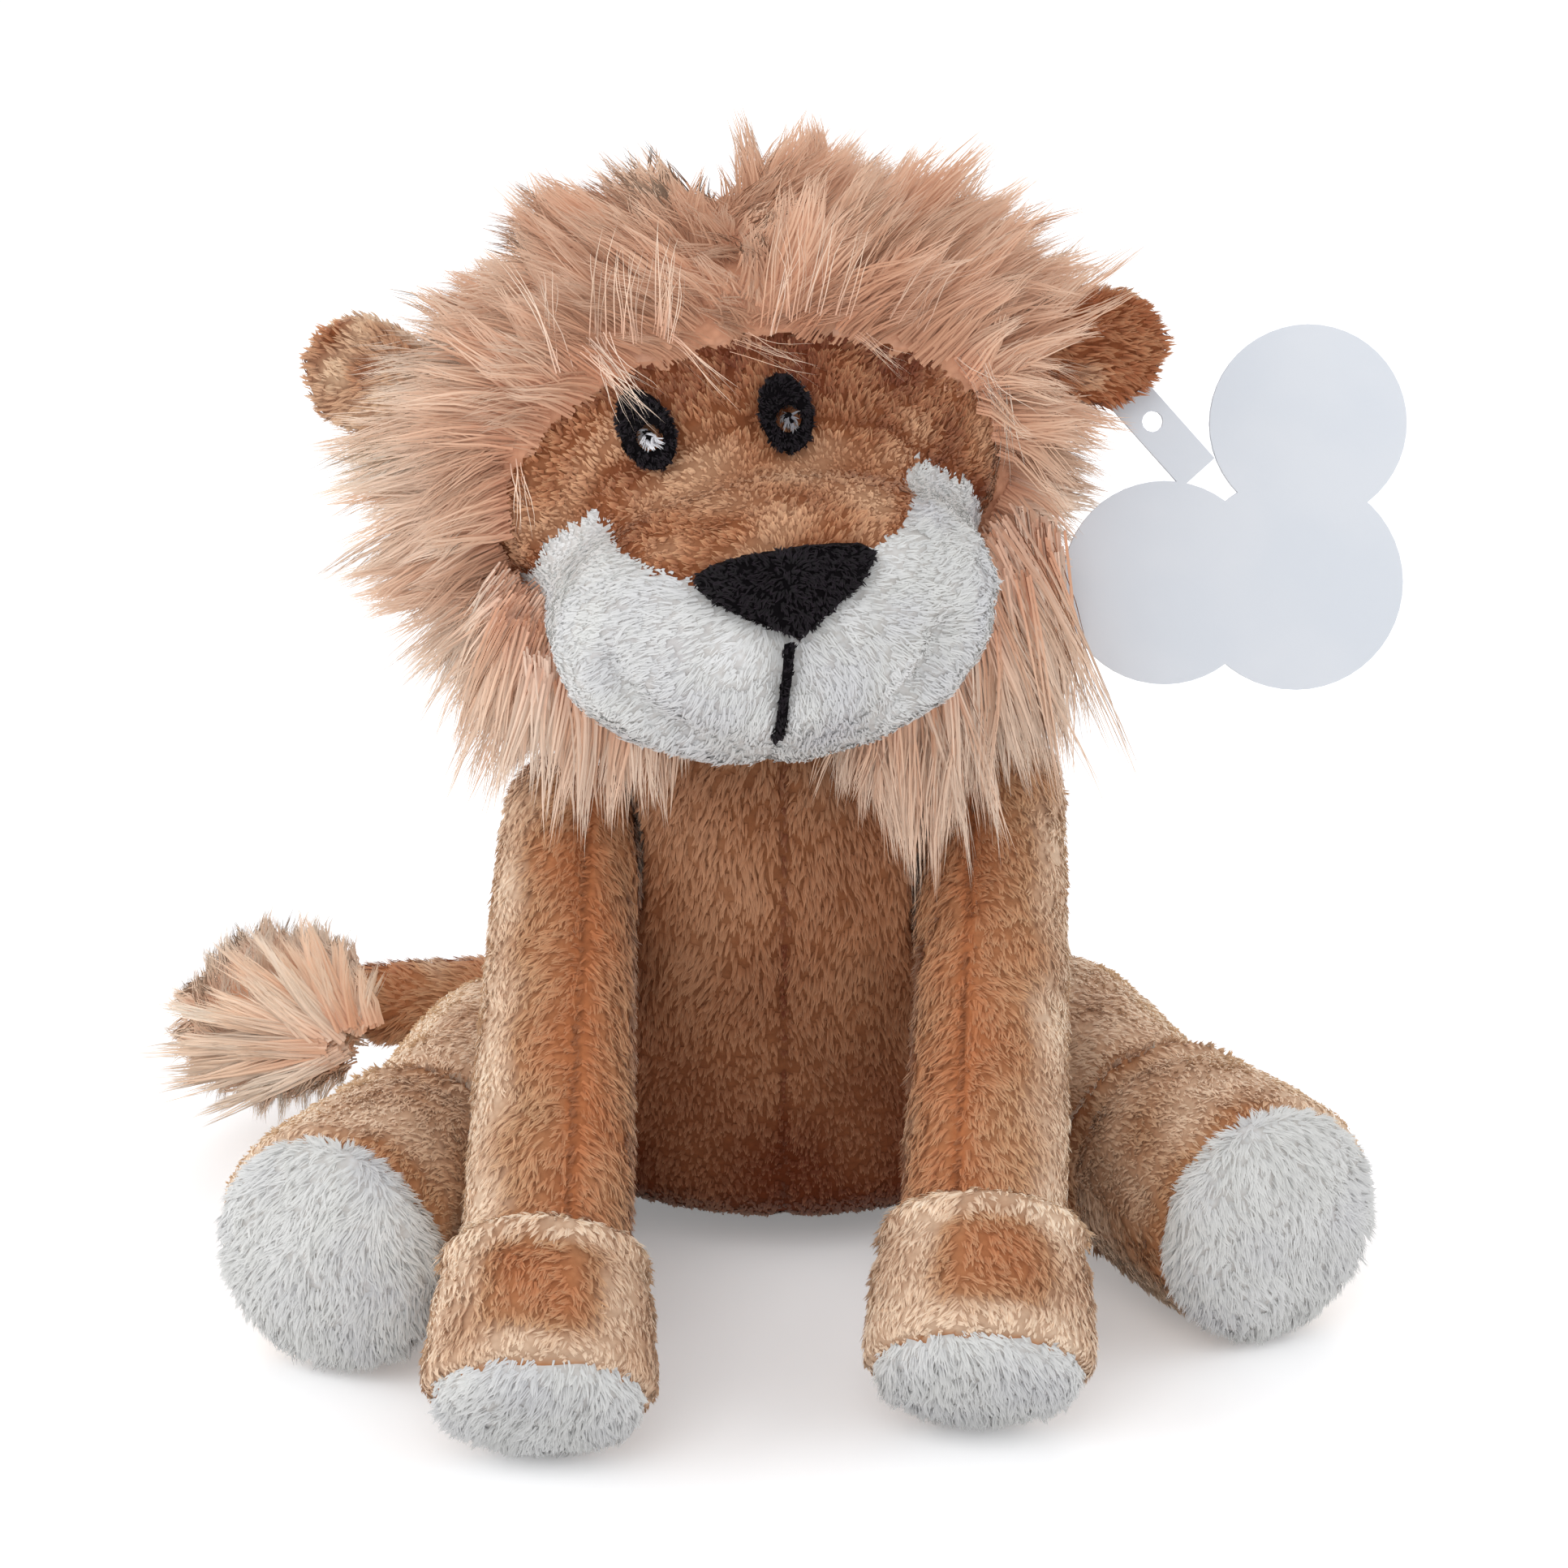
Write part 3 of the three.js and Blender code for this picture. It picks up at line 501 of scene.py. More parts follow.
def tuftShape(kind, rng):
    # a clump that stands on z and bends towards x; its blades face away from the bend
    tuft = bmesh.new()
    atTip = 0.999
    strand = tuft.verts.layers.float.new("strand")
    edgeOf = tuft.verts.layers.float.new("edge")
    sway, turned = rng.normal(size=2) * kind["curl"], rng.uniform(0, 6.3)
    for _ in range(kind["blades"]):
        made = bmesh.ops.create_grid(tuft, x_segments=1, y_segments=kind["joints"], size=0.5)["verts"]
        spot = rng.uniform(0, 2 * math.pi)
        reach = kind["foot"] * math.sqrt(rng.uniform())
        root = np.array((reach * math.cos(spot), reach * math.sin(spot)))
        tip = root * (1 - kind["gather"]) + rng.normal(size=2) * kind["stray"]
        roll = rng.uniform(-1, 1) * kind["roll"]
        height = kind["length"] * rng.uniform(0.75, 1.05)
        wave = rng.uniform(-1, 1, 2) * kind["wave"]
        phase = rng.uniform(0, 6.3)
        for vert in made:
            t = vert.co.y + 0.5
            side = vert.co.x * 2
            width = kind["width"] / 2 * (1 - t ** kind["taper"])
            middle = root + (tip - root) * t ** 1.5 + wave * math.sin(phase + t * 5) * t
            middle = middle + sway * (math.sin(turned + t * 4) - math.sin(turned)) * t
            middle[0] += kind["bend"] * height * t * t
            vert[strand] = t
            vert[edgeOf] = side if t < atTip else 0
            vert.co = (
                middle[0] + side * width * math.sin(roll),
                middle[1] + side * width * math.cos(roll),
                height * t * (1 - 0.25 * abs(kind["bend"]) * t),
            )
        tips = [vert for vert in made if vert[strand] > atTip]
        bmesh.ops.remove_doubles(tuft, verts=tips, dist=1)
    bmesh.ops.triangulate(tuft, faces=tuft.faces[:])
    for face in tuft.faces:
        face.normal_update()
        if face.normal.x > 0:
            face.normal_flip()
    for vert in tuft.verts:
        vert.normal_update()
    tuft.verts.index_update()
    shape = {
        "points": np.array([vert.co for vert in tuft.verts]),
        "normals": np.array([vert.normal for vert in tuft.verts]),
        "strands": np.array([vert[strand] for vert in tuft.verts]),
        "edges": np.array([vert[edgeOf] for vert in tuft.verts]),
        "faces": np.array([[vert.index for vert in face.verts] for face in tuft.faces]),
    }
    tuft.free()
    return shape


def scatterOn(mesh, count, seed, values):
    # random places spread evenly over a mesh, with its normal and the given point values there
    rng = np.random.default_rng(seed)
    mesh.calc_loop_triangles()
    corners = np.empty(len(mesh.loop_triangles) * 3, np.int32)
    mesh.loop_triangles.foreach_get("vertices", corners)
    corners = corners.reshape(-1, 3)
    points, normals = pointsOf(mesh), pointsOf(mesh, "normal")
    a, b, c = (points[corners[:, k]] for k in range(3))
    areas = np.linalg.norm(np.cross(b - a, c - a), axis=1) / 2
    picked = rng.choice(len(areas), count, p=areas / areas.sum())
    first = np.sqrt(rng.random(count))
    second = rng.random(count)
    weights = np.stack([1 - first, first * (1 - second), first * second], 1)

    def at(values):
        return np.einsum("nk,nk...->n...", weights, values[corners[picked]])

    return at(points), unit(at(normals)), at(values)


# how hair is lit: standing hair on its flanks, as a round hair would be, and short pile as the cloth under it
lightFacts = {"front": np.array((0, -0.94, 0.34)), "standing": 1.0, "lying": 0.6, "flank": 0.85}
# each tuft has a cell of its own in the bake chart: half its width, its start and its height
chartFacts = {"half": 0.35, "start": 0.1, "high": 0.8, "row": 2 * mm}
lowest = 0.15 * mm  # no hair is under this height


def growPile(name, kind, roots, seed):
    # roots, a row for each tuft: place, normal, along (where it points), length (a factor) and tone
    rng = np.random.default_rng(seed)
    shapes = [tuftShape(kind, rng) for _ in range(kind["shapes"])]
    count = len(roots["place"])
    pick = rng.integers(0, len(shapes), count)
    normal = roots["normal"]
    along = unit(roots["along"])
    bend = roots.get("bend", -normal)
    ahead = unit(bend - along * dot(bend, along) + tiny)
    side = np.cross(along, ahead)
    outward = normal + lightFacts["standing" if kind["standing"] else "lying"] * lightFacts["front"]
    flank = unit(outward - lightFacts["flank"] * along * dot(outward, along))
    shown = flank if kind["standing"] else normal
    size = rng.uniform(1 - kind["sizeSpread"], 1 + kind["sizeSpread"], count)
    lock = rng.random(count)
    cells = math.ceil(math.sqrt(count))
    cell = np.empty(count, int)
    level = np.round(roots["place"][:, 2] / chartFacts["row"])
    cell[np.lexsort((roots["place"][:, 0], level))] = np.arange(count)
    points, shading, places, values, faces, start = [], [], [], [], [], 0
    for index, shape in enumerate(shapes):
        here = np.nonzero(pick == index)[0]
        if not len(here):
            continue
        each = len(shape["strands"])
        frames = np.stack([ahead[here], side[here], along[here]], 1)
        grown = np.repeat(size[here][:, None], 3, 1)
        grown[:, 2] *= roots["length"][here]
        moved = np.einsum("vk,nk,nkj->nvj", shape["points"], grown, frames) + roots["place"][here][:, None]
        own = np.einsum("vk,nkj->nvj", shape["normals"], frames)
        soft = unit(kind["soft"] * shown[here][:, None] + (1 - kind["soft"]) * own)
        a, b, c = (moved[:, shape["faces"][:, k]] for k in range(3))
        inward = (np.cross(b - a, c - a) * outward[here][:, None]).sum(2) < 0
        triangles = np.where(inward[:, :, None], shape["faces"][None, :, ::-1], shape["faces"][None])
        points.append(moved.reshape(-1, 3))
        shading.append(soft.reshape(-1, 3))
        u = (cell[here][:, None] % cells + 0.5 + chartFacts["half"] * shape["edges"]) / cells
        v = (cell[here][:, None] // cells + chartFacts["start"] + chartFacts["high"] * shape["strands"]) / cells
        places.append(np.stack([u, v], 2).reshape(-1, 2))
        marks = np.stack([lock[here], roots["tone"][here]], 1)
        values.append(np.column_stack([np.tile(shape["strands"], len(here)), np.repeat(marks, each, 0)]))
        faces.append((triangles + (start + np.arange(len(here)) * each)[:, None, None]).reshape(-1, 3))
        start += len(here) * each
    points = np.concatenate(points)
    points[:, 2] = np.maximum(points[:, 2], lowest)
    values = np.concatenate(values).astype(np.float32)
    faces = np.concatenate(faces)
    mesh = bpy.data.meshes.new(name)
    mesh.vertices.add(len(points))
    mesh.vertices.foreach_set("co", points.ravel())
    mesh.loops.add(faces.size)
    mesh.loops.foreach_set("vertex_index", faces.ravel().astype(np.int32))
    mesh.polygons.add(len(faces))
    mesh.polygons.foreach_set("loop_start", np.arange(0, faces.size, 3, dtype=np.int32))
    mesh.update(calc_edges=True)
    for column, label in enumerate(("strand", "lock", "tone")):
        mesh.attributes.new(label, "FLOAT", "POINT").data.foreach_set("value", values[:, column].copy())
    chart = mesh.uv_layers.new(name="OFBake")
    chart.uv.foreach_set("vector", np.concatenate(places)[faces.ravel()].ravel().astype(np.float32))
    mesh.shade_smooth()
    mesh.normals_split_custom_set_from_vertices(np.concatenate(shading).tolist())
    print(f"  {name}: {count} tufts, {len(faces)} triangles")
    return linkPiece(name, mesh)


def tuftKind(**own):
    # lengths in millimetres
    kind = {"joints": 2, "curl": 0, "bend": 0.1, "roll": 0.6, "sizeSpread": 0.25, "standing": False, **own}
    for label in ("foot", "length", "width", "stray", "wave", "curl"):
        kind[label] *= mm
    return kind


pileKinds = {
    "body": tuftKind(
        blades=4, foot=0.34, length=2.2, width=0.31, gather=0.6, stray=0.14, roll=0.5, wave=0.04,
        taper=2.2, sizeSpread=0.2, shapes=16, density=1.66, soft=0.9,
    ),
    "face": tuftKind(
        blades=4, foot=0.32, length=1.6, width=0.29, gather=0.8, stray=0.08, wave=0.05, bend=0.3,
        taper=2.6, shapes=14, density=2.6, soft=0.78,
    ),
    "white": tuftKind(
        blades=5, foot=0.45, length=2.1, width=0.21, gather=0.45, stray=0.16, roll=0.5, wave=0.08, bend=0.2,
        taper=2.2, shapes=16, density=2.2, soft=0.95,
    ),
    "mane": tuftKind(
        blades=18, joints=4, foot=2.1, length=17, width=0.3, gather=0.88, stray=0.36, roll=0.8, wave=0.25,
        curl=0.7, bend=0.2, taper=2.4, sizeSpread=0.18, shapes=28, density=0.33, soft=0.85, spread=1.7,
        standing=True,
    ),
    "lock": tuftKind(
        blades=14, joints=4, foot=1.0, length=17, width=0.38, gather=0.9, stray=0.2, roll=0.7, wave=0.2,
        curl=0.4, bend=0.12, taper=2.2, sizeSpread=0.08, shapes=12, soft=0.85, spread=0.6, standing=True,
    ),
    "wisp": tuftKind(
        blades=6, joints=6, foot=1.2, length=10, width=0.13, gather=0.2, stray=1.1, roll=1.0, wave=0.8,
        curl=0.8, bend=0.15, taper=3.0, sizeSpread=0.3, shapes=12, soft=0.7, spread=0.7, standing=True,
    ),
    "ear": tuftKind(
        blades=4, foot=0.32, length=2.0, width=0.28, gather=0.6, stray=0.12, wave=0.05, taper=2.4,
        sizeSpread=0.22, shapes=10, density=2.2, soft=0.65,
    ),
    "patch": tuftKind(
        blades=4, foot=0.25, length=1.0, width=0.22, gather=0.3, stray=0.1, roll=1.0, wave=0.04, bend=0.3,
        taper=2.4, shapes=10, density=4.5, soft=0.5,
    ),
    "thread": tuftKind(
        blades=3, foot=0.2, length=1.5, width=0.18, gather=0.1, stray=0.1, roll=0.8, wave=0.04, bend=0.2,
        taper=4.0, shapes=8, density=9.0, soft=0.4,
    ),
}
clearOfSeam = 0.15 * mm


def pileOf(kind, paint, slot, lean=0, **more):
    return {"kind": kind, "paint": paint, "slot": slot, "lean": lean, "clear": clearOfSeam, **more}


def leaning(place, normal, nap, lean, turn, seed):
    # where the pile points: the nap, turned and lifted off the cloth by amounts that drift
    rng = np.random.default_rng(seed)
    nap = unit(nap - normal * dot(nap, normal) + tiny)
    turned = turn * (rng.normal(size=len(place)) * 0.7 + 0.8 * drift(place, 13 * mm, seed + 1))
    aside = np.cross(normal, nap)
    nap = nap * np.cos(turned)[:, None] + aside * np.sin(turned)[:, None]
    tilt = np.clip(lean + 0.12 * rng.normal(size=len(place)) + 0.1 * drift(place, 8 * mm, seed + 2), 0.1, 1.42)
    return normal * np.cos(tilt)[:, None] + nap * np.sin(tilt)[:, None]


def seamGap(distances):
    # how far a place is from the nearest seam: its distances to the two nearest panels compared
    ranked = np.sort(distances, 1)
    return ranked[:, 1] - ranked[:, 0]


def clothedBody(body, panels, cores, look, seed):
    # one padded skin for a body, grooved along its seams, and a pile on each of its panels
    piles = [look["piles"].get(panel) or look["piles"]["rest"] for panel in panels]
    skin = paddedSkin("skin_" + body, panels + cores, look["voxel"], look["rounds"])
    points = pointsOf(skin.data)
    own = np.stack([distancesTo(points, [panel]) for panel in panels], 1)
    others = [n for b, ns in bodies.items() if b != body and b not in look.get("ignore", ()) for n in ns]
    away = distancesTo(points, others)
    seam = seamGap(own)
    sunk = look["inset"] * smoothStep(away, 0.7 * mm, 4 * mm) + look["seamDeep"] * fade(seam, look["seamWide"])
    if "shape" in look:
        sunk -= look["shape"](points, own, panels)
    moveAlong(skin, -sunk)
    grounds = [settings["paint"] for settings in piles]
    slots = list(dict.fromkeys(grounds))
    for ground in slots:
        skin.data.materials.append(groundMaterials[ground])
    label = own.argmin(1)
    for polygon in skin.data.polygons:
        polygon.material_index = slots.index(grounds[label[polygon.vertices[0]]])
    tones, normals = np.zeros(len(points), np.float32), pointsOf(skin.data, "normal")
    for index, panel in enumerate(panels):
        mine = label == index
        tones[mine] = look["tone"](panel, points[mine], normals[mine], seam[mine])
    skin.data.attributes.new("tone", "FLOAT", "POINT").data.foreach_set("value", tones)
    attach(skin, body)
    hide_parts(*(panels + cores))
    values = np.concatenate([own, away[:, None]], 1)
    area = sum(p.area for p in skin.data.polygons) / mm / mm
    for index, (panel, settings) in enumerate(zip(panels, piles)):
        kind = pileKinds[settings["kind"]]
        count = int(area * kind["density"])
        place, normal, there = scatterOn(skin.data, count, seed + index, values)
        gap, clear = seamGap(there[:, :-1]), there[:, -1]
        keep = (there[:, :-1].argmin(1) == index) & (clear > settings["clear"]) & (place[:, 2] > 0.4 * mm)
        place, normal, gap, clear, there = place[keep], normal[keep], gap[keep], clear[keep], there[keep]
        roots = look["roots"](panel, settings, place, normal, gap, clear, there, seed + index)
        roots["place"], roots["normal"] = place, normal
        pile = growPile("pile_" + panel, kind, roots, seed + index)
        pile.data.materials.append(hairMaterials[settings["paint"]])
        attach(pile, body)
        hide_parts(panel)
    print(f"{body} clothed, {area:.0f} square mm")


def plushRoots(napOf, toneOf):
    # roots of a short pile: laid along the nap, flatter where it is pale, shorter and parted at the seams
    def roots(panel, settings, place, normal, gap, clear, there, seed):
        tone = toneOf(panel, place, normal, gap)
        flat = np.clip(-tone, 0, 1)
        ridge = settings.get("ridge", 0) * fade(gap, 2.4 * mm)
        edge = settings.get("edge", 0.6)
        length = settings.get("length", 1) * (edge + (1 - edge) * smoothStep(gap, 0, 2 * mm))
        length = length * (1 - 0.45 * flat)
        if "end" in settings:
            fromEnd = there[:, settings["end"]] - np.delete(there, settings["end"], 1)[:, :-1].min(1)
            ridge = ridge * smoothStep(fromEnd, 3 * mm, 8 * mm)
            length *= 0.6 + 0.4 * smoothStep(fromEnd, 0.5 * mm, 4 * mm)
        length += 0.6 * ridge
        beside = 0.75 + 0.25 * smoothStep(clear, 0.8 * mm, 4 * mm)
        length *= beside * (1 + 0.12 * drift(place, 9 * mm, seed + 31))
        nap = napOf(panel, place, normal) * (1 - 2 * ridge)[:, None]
        lean = settings["lean"] - 0.5 * ridge + 0.12 * flat
        return {
            "along": leaning(place, normal, nap, lean, settings.get("turn", 0.35), seed + 50),
            "length": length,
            "tone": tone - ridge,
        }

    return roots


# Torso

# the belly's painted shade: how much darker towards its bottom and beside the arms
torsoFacts = {"seam": 0.8, "seamWide": 0.7 * mm, "lowPaintedShade": 0.9, "sidePaintedShade": 0.3, "worn": 0.5}


def torsoNap(panel, place, normal):
    out = np.zeros_like(place)
    out[:, 0] = place[:, 0] / (40 * mm) * 0.35
    out[:, 2] = -1
    return out


def torsoTone(panel, place, normal, gap):
    seam = torsoFacts["seam"] * fade(gap, torsoFacts["seamWide"])
    if "belly" not in panel:
        return 0.25 * drift(place, 22 * mm, 5) + 0.5 * seam
    # painted shade: the belly darkens towards the bottom, where it sits low by the seat, and in the shade beside
    # the arms
    low = 1 - smoothStep(place[:, 2], 6 * mm, 50 * mm)
    aside = smoothStep(np.abs(place[:, 0]), 16 * mm, 27 * mm)
    paintedShade = torsoFacts["lowPaintedShade"] * low + torsoFacts["sidePaintedShade"] * aside
    return 0.2 * drift(place, 22 * mm, 5) + paintedShade - 0.05 + seam


def torsoRoots(*given):
    # the lower belly is worn smooth
    roots = plushRoots(torsoNap, torsoTone)(*given)
    if "belly" in given[0]:
        worn = torsoFacts["worn"]
        roots["length"] *= worn + (1 - worn) * smoothStep(given[2][:, 2], 20 * mm, 50 * mm)
    return roots


torsoLook = {
    "voxel": 1.5 * mm, "rounds": 6, "inset": 1.1 * mm, "fill": 0.75,
    "seamDeep": 0.8 * mm, "seamWide": 1.0 * mm, "tone": torsoTone,
    "roots": torsoRoots,
    "piles": {
        "rest": pileOf("body", "bellyPile", "plush", 1.15, turn=0.25),
        "back_panel": pileOf("body", "tanPile", "plush", 1.12),
    },
}
torsoPanels = ["back_panel", "belly_left", "belly_right"]
clothedBody("torso", torsoPanels, ["torso_stuffing", "pellet_bag"], torsoLook, 100)


# Arms and legs

limbFacts = {
    "arm": {"radius": 13 * mm, "seamAt": -0.3, "seam": 0.7},
    "leg": {"radius": 17 * mm, "seamAt": 0, "seam": 0.4},
    "lip": 1.6 * mm, "full": 1.1 * mm, "drawn": 1.0 * mm, "soleFull": 0.5 * mm,
    "pawSpot": 0.87, "pawSpotRed": (0.65, 0.9),
}


def limbLook(name, pivot, sign, panels):
    # sign is 1 for the lion's left and -1 for its right
    sole, paw = name + "_sole", panels[-2]
    isArm = name.startswith("arm")
    facts = limbFacts[name[:3]]
    radius, seamAt = facts["radius"], facts["seamAt"]
    reach = np.linalg.norm(middleOf(sole) - pivot)
    way = unit(middleOf(sole) - pivot)
    across = unit(np.cross(way, (0, -1, 0)))
    across = across * np.sign(across[0]) * sign
    upward = np.cross(across, way)
    upward = upward * np.sign(upward[2])

    def shares(place):
        # how far a place is to the outside and to the top, in radii
        return (place - pivot) @ across / radius, (place - pivot) @ upward / radius

    def nap(panel, place, normal):
        # down the limb and away from the seam along its front; on the sole towards its rim
        if panel == sole:
            return np.array((0.25 * sign, 0, -1.0)) - 0.3 * way + 0.45 * (place - middleOf(sole)) / radius
        aside = shares(place)[0] - seamAt
        return way + 0.9 * across * (np.sign(aside) * np.exp(-np.abs(aside) / 0.5))[:, None]

    def tone(panel, place, normal, gap):
        # redder where the pile parts along the seam; paler at the sides, where the pile is brushed flat and painted
        # light is added
        aside, above = shares(place)
        spots = 0.15 * drift(place, 12 * mm, 11)
        if panel == sole:
            return spots
        if isArm:
            # partly painted light: the arm's sides are paler, standing in for the pale halo on their rims
            pale = 0.95 * smoothStep(aside, 0.1, 0.85) + 0.55 * smoothStep(-aside, 0.75, 1.05)
            red = 0.15 + 0.6 * fade(aside - seamAt, 0.3)
        else:
            # painted light on the leg's top and painted shade under it
            pale = 0.5 + 0.9 * smoothStep(above, 0.0, 0.85) + 0.3 * smoothStep(aside, 0.2, 0.9)
            red = 0.4 * fade(gap, 4 * mm) + 0.2 * smoothStep(-above, -0.1, 0.7)
        if panel == paw and isArm:
            # a warm patch in the middle of the paw
            down = (place - pivot) @ way / reach
            patch = np.exp(-((aside / 0.55) ** 4) - ((down - limbFacts["pawSpot"]) / 0.07) ** 4)
            pale = 0.6 * (1 - patch)
            red = limbFacts["pawSpotRed"][sign < 0] * patch
        seam = 1.5 * fade(gap, 0.7 * mm) * (panel != paw)
        return red - pale + spots + seam * facts["seam"]

    def shape(points, own, panels):
        # the paw's upper edge stands over the drawn-in cuff as a soft lip, the paw and the sole are full
        mine = own[:, panels.index(paw)]
        rest = np.delete(own, [panels.index(paw), panels.index(sole)], 1).min(1)
        past = rest - mine
        lip = limbFacts["lip"] * fade(past - 1.4 * mm, 1.5 * mm)
        full = limbFacts["full"] * smoothStep(past, 2 * mm, 8 * mm) * smoothStep(-past, -30 * mm, -2 * mm)
        drawn = limbFacts["drawn"] * smoothStep(-past, 0, 1 * mm) * fade(mine - 3 * mm, 5 * mm)
        onSole = smoothStep(mine - own[:, panels.index(sole)], 0.5 * mm, 2.5 * mm)
        return lip + full - drawn + limbFacts["soleFull"] * onSole

    tan = pileOf("body", "tanPile", "plush", 1.1)
    return {
        "voxel": 1.4 * mm, "rounds": 6, "inset": 1.1 * mm, "fill": 0.7,
        "seamDeep": 1.0 * mm, "seamWide": 1.0 * mm, "tone": tone,
        "shape": shape, "roots": plushRoots(nap, tone),
        "piles": {
            "rest": tan,
            paw: dict(tan, ridge=0.35, end=len(panels) - 1),
            sole: pileOf("white", "whitePile", "white", 0.95, turn=0.35, length=1.1),
        },
    }


for number, side in enumerate(("left", "right")):
    sign = 1 - 2 * number
    arm = "arm_" + side
    armPanels = [arm + part for part in ("_sleeve_outer", "_sleeve_inner", "_paw", "_sole")]
    look = limbLook(arm, np.array(joints[arm + "_raise"]["pos_m"]), sign, armPanels)
    clothedBody(arm, armPanels, [arm + "_stuffing"], look, 200 + 40 * number)
    leg = "leg_" + side
    legPanels = [leg + part for part in ("_thigh", "_foot", "_sole")]
    look = limbLook(leg, np.array(joints[leg + "_spread"]["pos_m"]), sign, legPanels)
    clothedBody(leg, legPanels, [leg + "_stuffing"], look, 300 + 40 * number)


# Head

# the head's own directions, the last one towards its left ear
headFacts = {
    "middle": (-6 * mm, -12 * mm, 115 * mm), "back": (-0.1392, 0.9903, 0), "up": (-0.1207, -0.017, 0.9925),
    "side": (0.9829, 0.1381, 0.1219), "partSide": 1.5 * mm, "ceiling": 161.8 * mm, "cheekFull": 1.5 * mm,
}
# creases of the face, in millimetres: points along each one, its depth and its width
creases = [
    ([(-7.9, -37.5, 131.1), (-7.6, -38.9, 128.2), (-8.1, -39.7, 125.2), (-8.8, -40.2, 122.5)], 1.0, 1.2),
    ([(-22.7, -58.4, 99.4), (-20.7, -58.5, 96.4), (-17.1, -58.7, 93.1), (-12.5, -58.4, 90.5)], 1.9, 2.0),
    ([(20.6, -54.5, 102.1), (19.6, -54.7, 98.9), (18.0, -54.6, 96.3), (14.9, -55.5, 94.2)], 2.0, 1.9),
]
noseMiddle = middleOf("nose")
headMiddle = np.array(headFacts["middle"])
headBack, headUp, headSide = (unit(np.array(headFacts[name])) for name in ("back", "up", "side"))
manePanels = ["mane_back", "mane_crown", "mane_left", "mane_chin", "mane_right"]
facePanels = ["face_left", "face_right", "bridge", "cheek_left", "cheek_right"]


def awayFromLine(points, line):
    # distance from each point to a line through several places
    best = np.full(len(points), 1.0)
    for start, end in zip(line[:-1], line[1:]):
        t = np.clip(((points - start) @ (end - start)) / ((end - start) @ (end - start)), 0, 1)[:, None]
        best = np.minimum(best, np.linalg.norm(points - start - t * (end - start), axis=1))
    return best


def headShape(points, own, panels):
    # the cheeks are full below, and creases cross the face
    cheeks = own[:, [panels.index("cheek_left"), panels.index("cheek_right")]].min(1)
    below = smoothStep(104 * mm - points[:, 2], 0, 14 * mm)
    out = headFacts["cheekFull"] * below * smoothStep(own.min(1) + 1 * mm - cheeks, 0, 1 * mm)
    for line, deep, wide in creases:
        out -= deep * mm * fade(awayFromLine(points, np.array(line) * mm), wide * mm)
    return out


def headTone(panel, place, normal, gap):
    # painted shade on the brow, which lies in the mane's shade, and on the face's left half, the side in shade
    if panel.startswith("mane"):
        return 0.2 * drift(place, 14 * mm, 23)
    if panel.startswith("cheek"):
        return 0.3 * drift(place, 11 * mm, 21)
    high = smoothStep((place - headMiddle) @ headUp, 6 * mm, 20 * mm)
    leftHalf = smoothStep((place - headMiddle) @ headSide, -4 * mm, 20 * mm)
    shade = 1.0 * high + 0.45 * leftHalf if "face" in panel else 0.2
    return 0.45 * fade(gap, 1.5 * mm) + 0.25 * drift(place, 11 * mm, 21) + shade - 0.45


def faceNap(panel, place, normal):
    return unit(place - noseMiddle)


faceRoots = plushRoots(faceNap, headTone)
mane = {
    "hang": 0.1, "hangBehind": 0.7, "hangBelow": 0.2, "parted": 0.5, "stray": 0.08, "drift": 0.24,
    # how much of its length the hair keeps beside the face, and loses or gains elsewhere
    "atFace": 0.62, "top": 0.3, "below": 0.12, "behind": 0.3, "parting": 0.75, "besideEar": 0.35, "behindTag": 0.22,
}


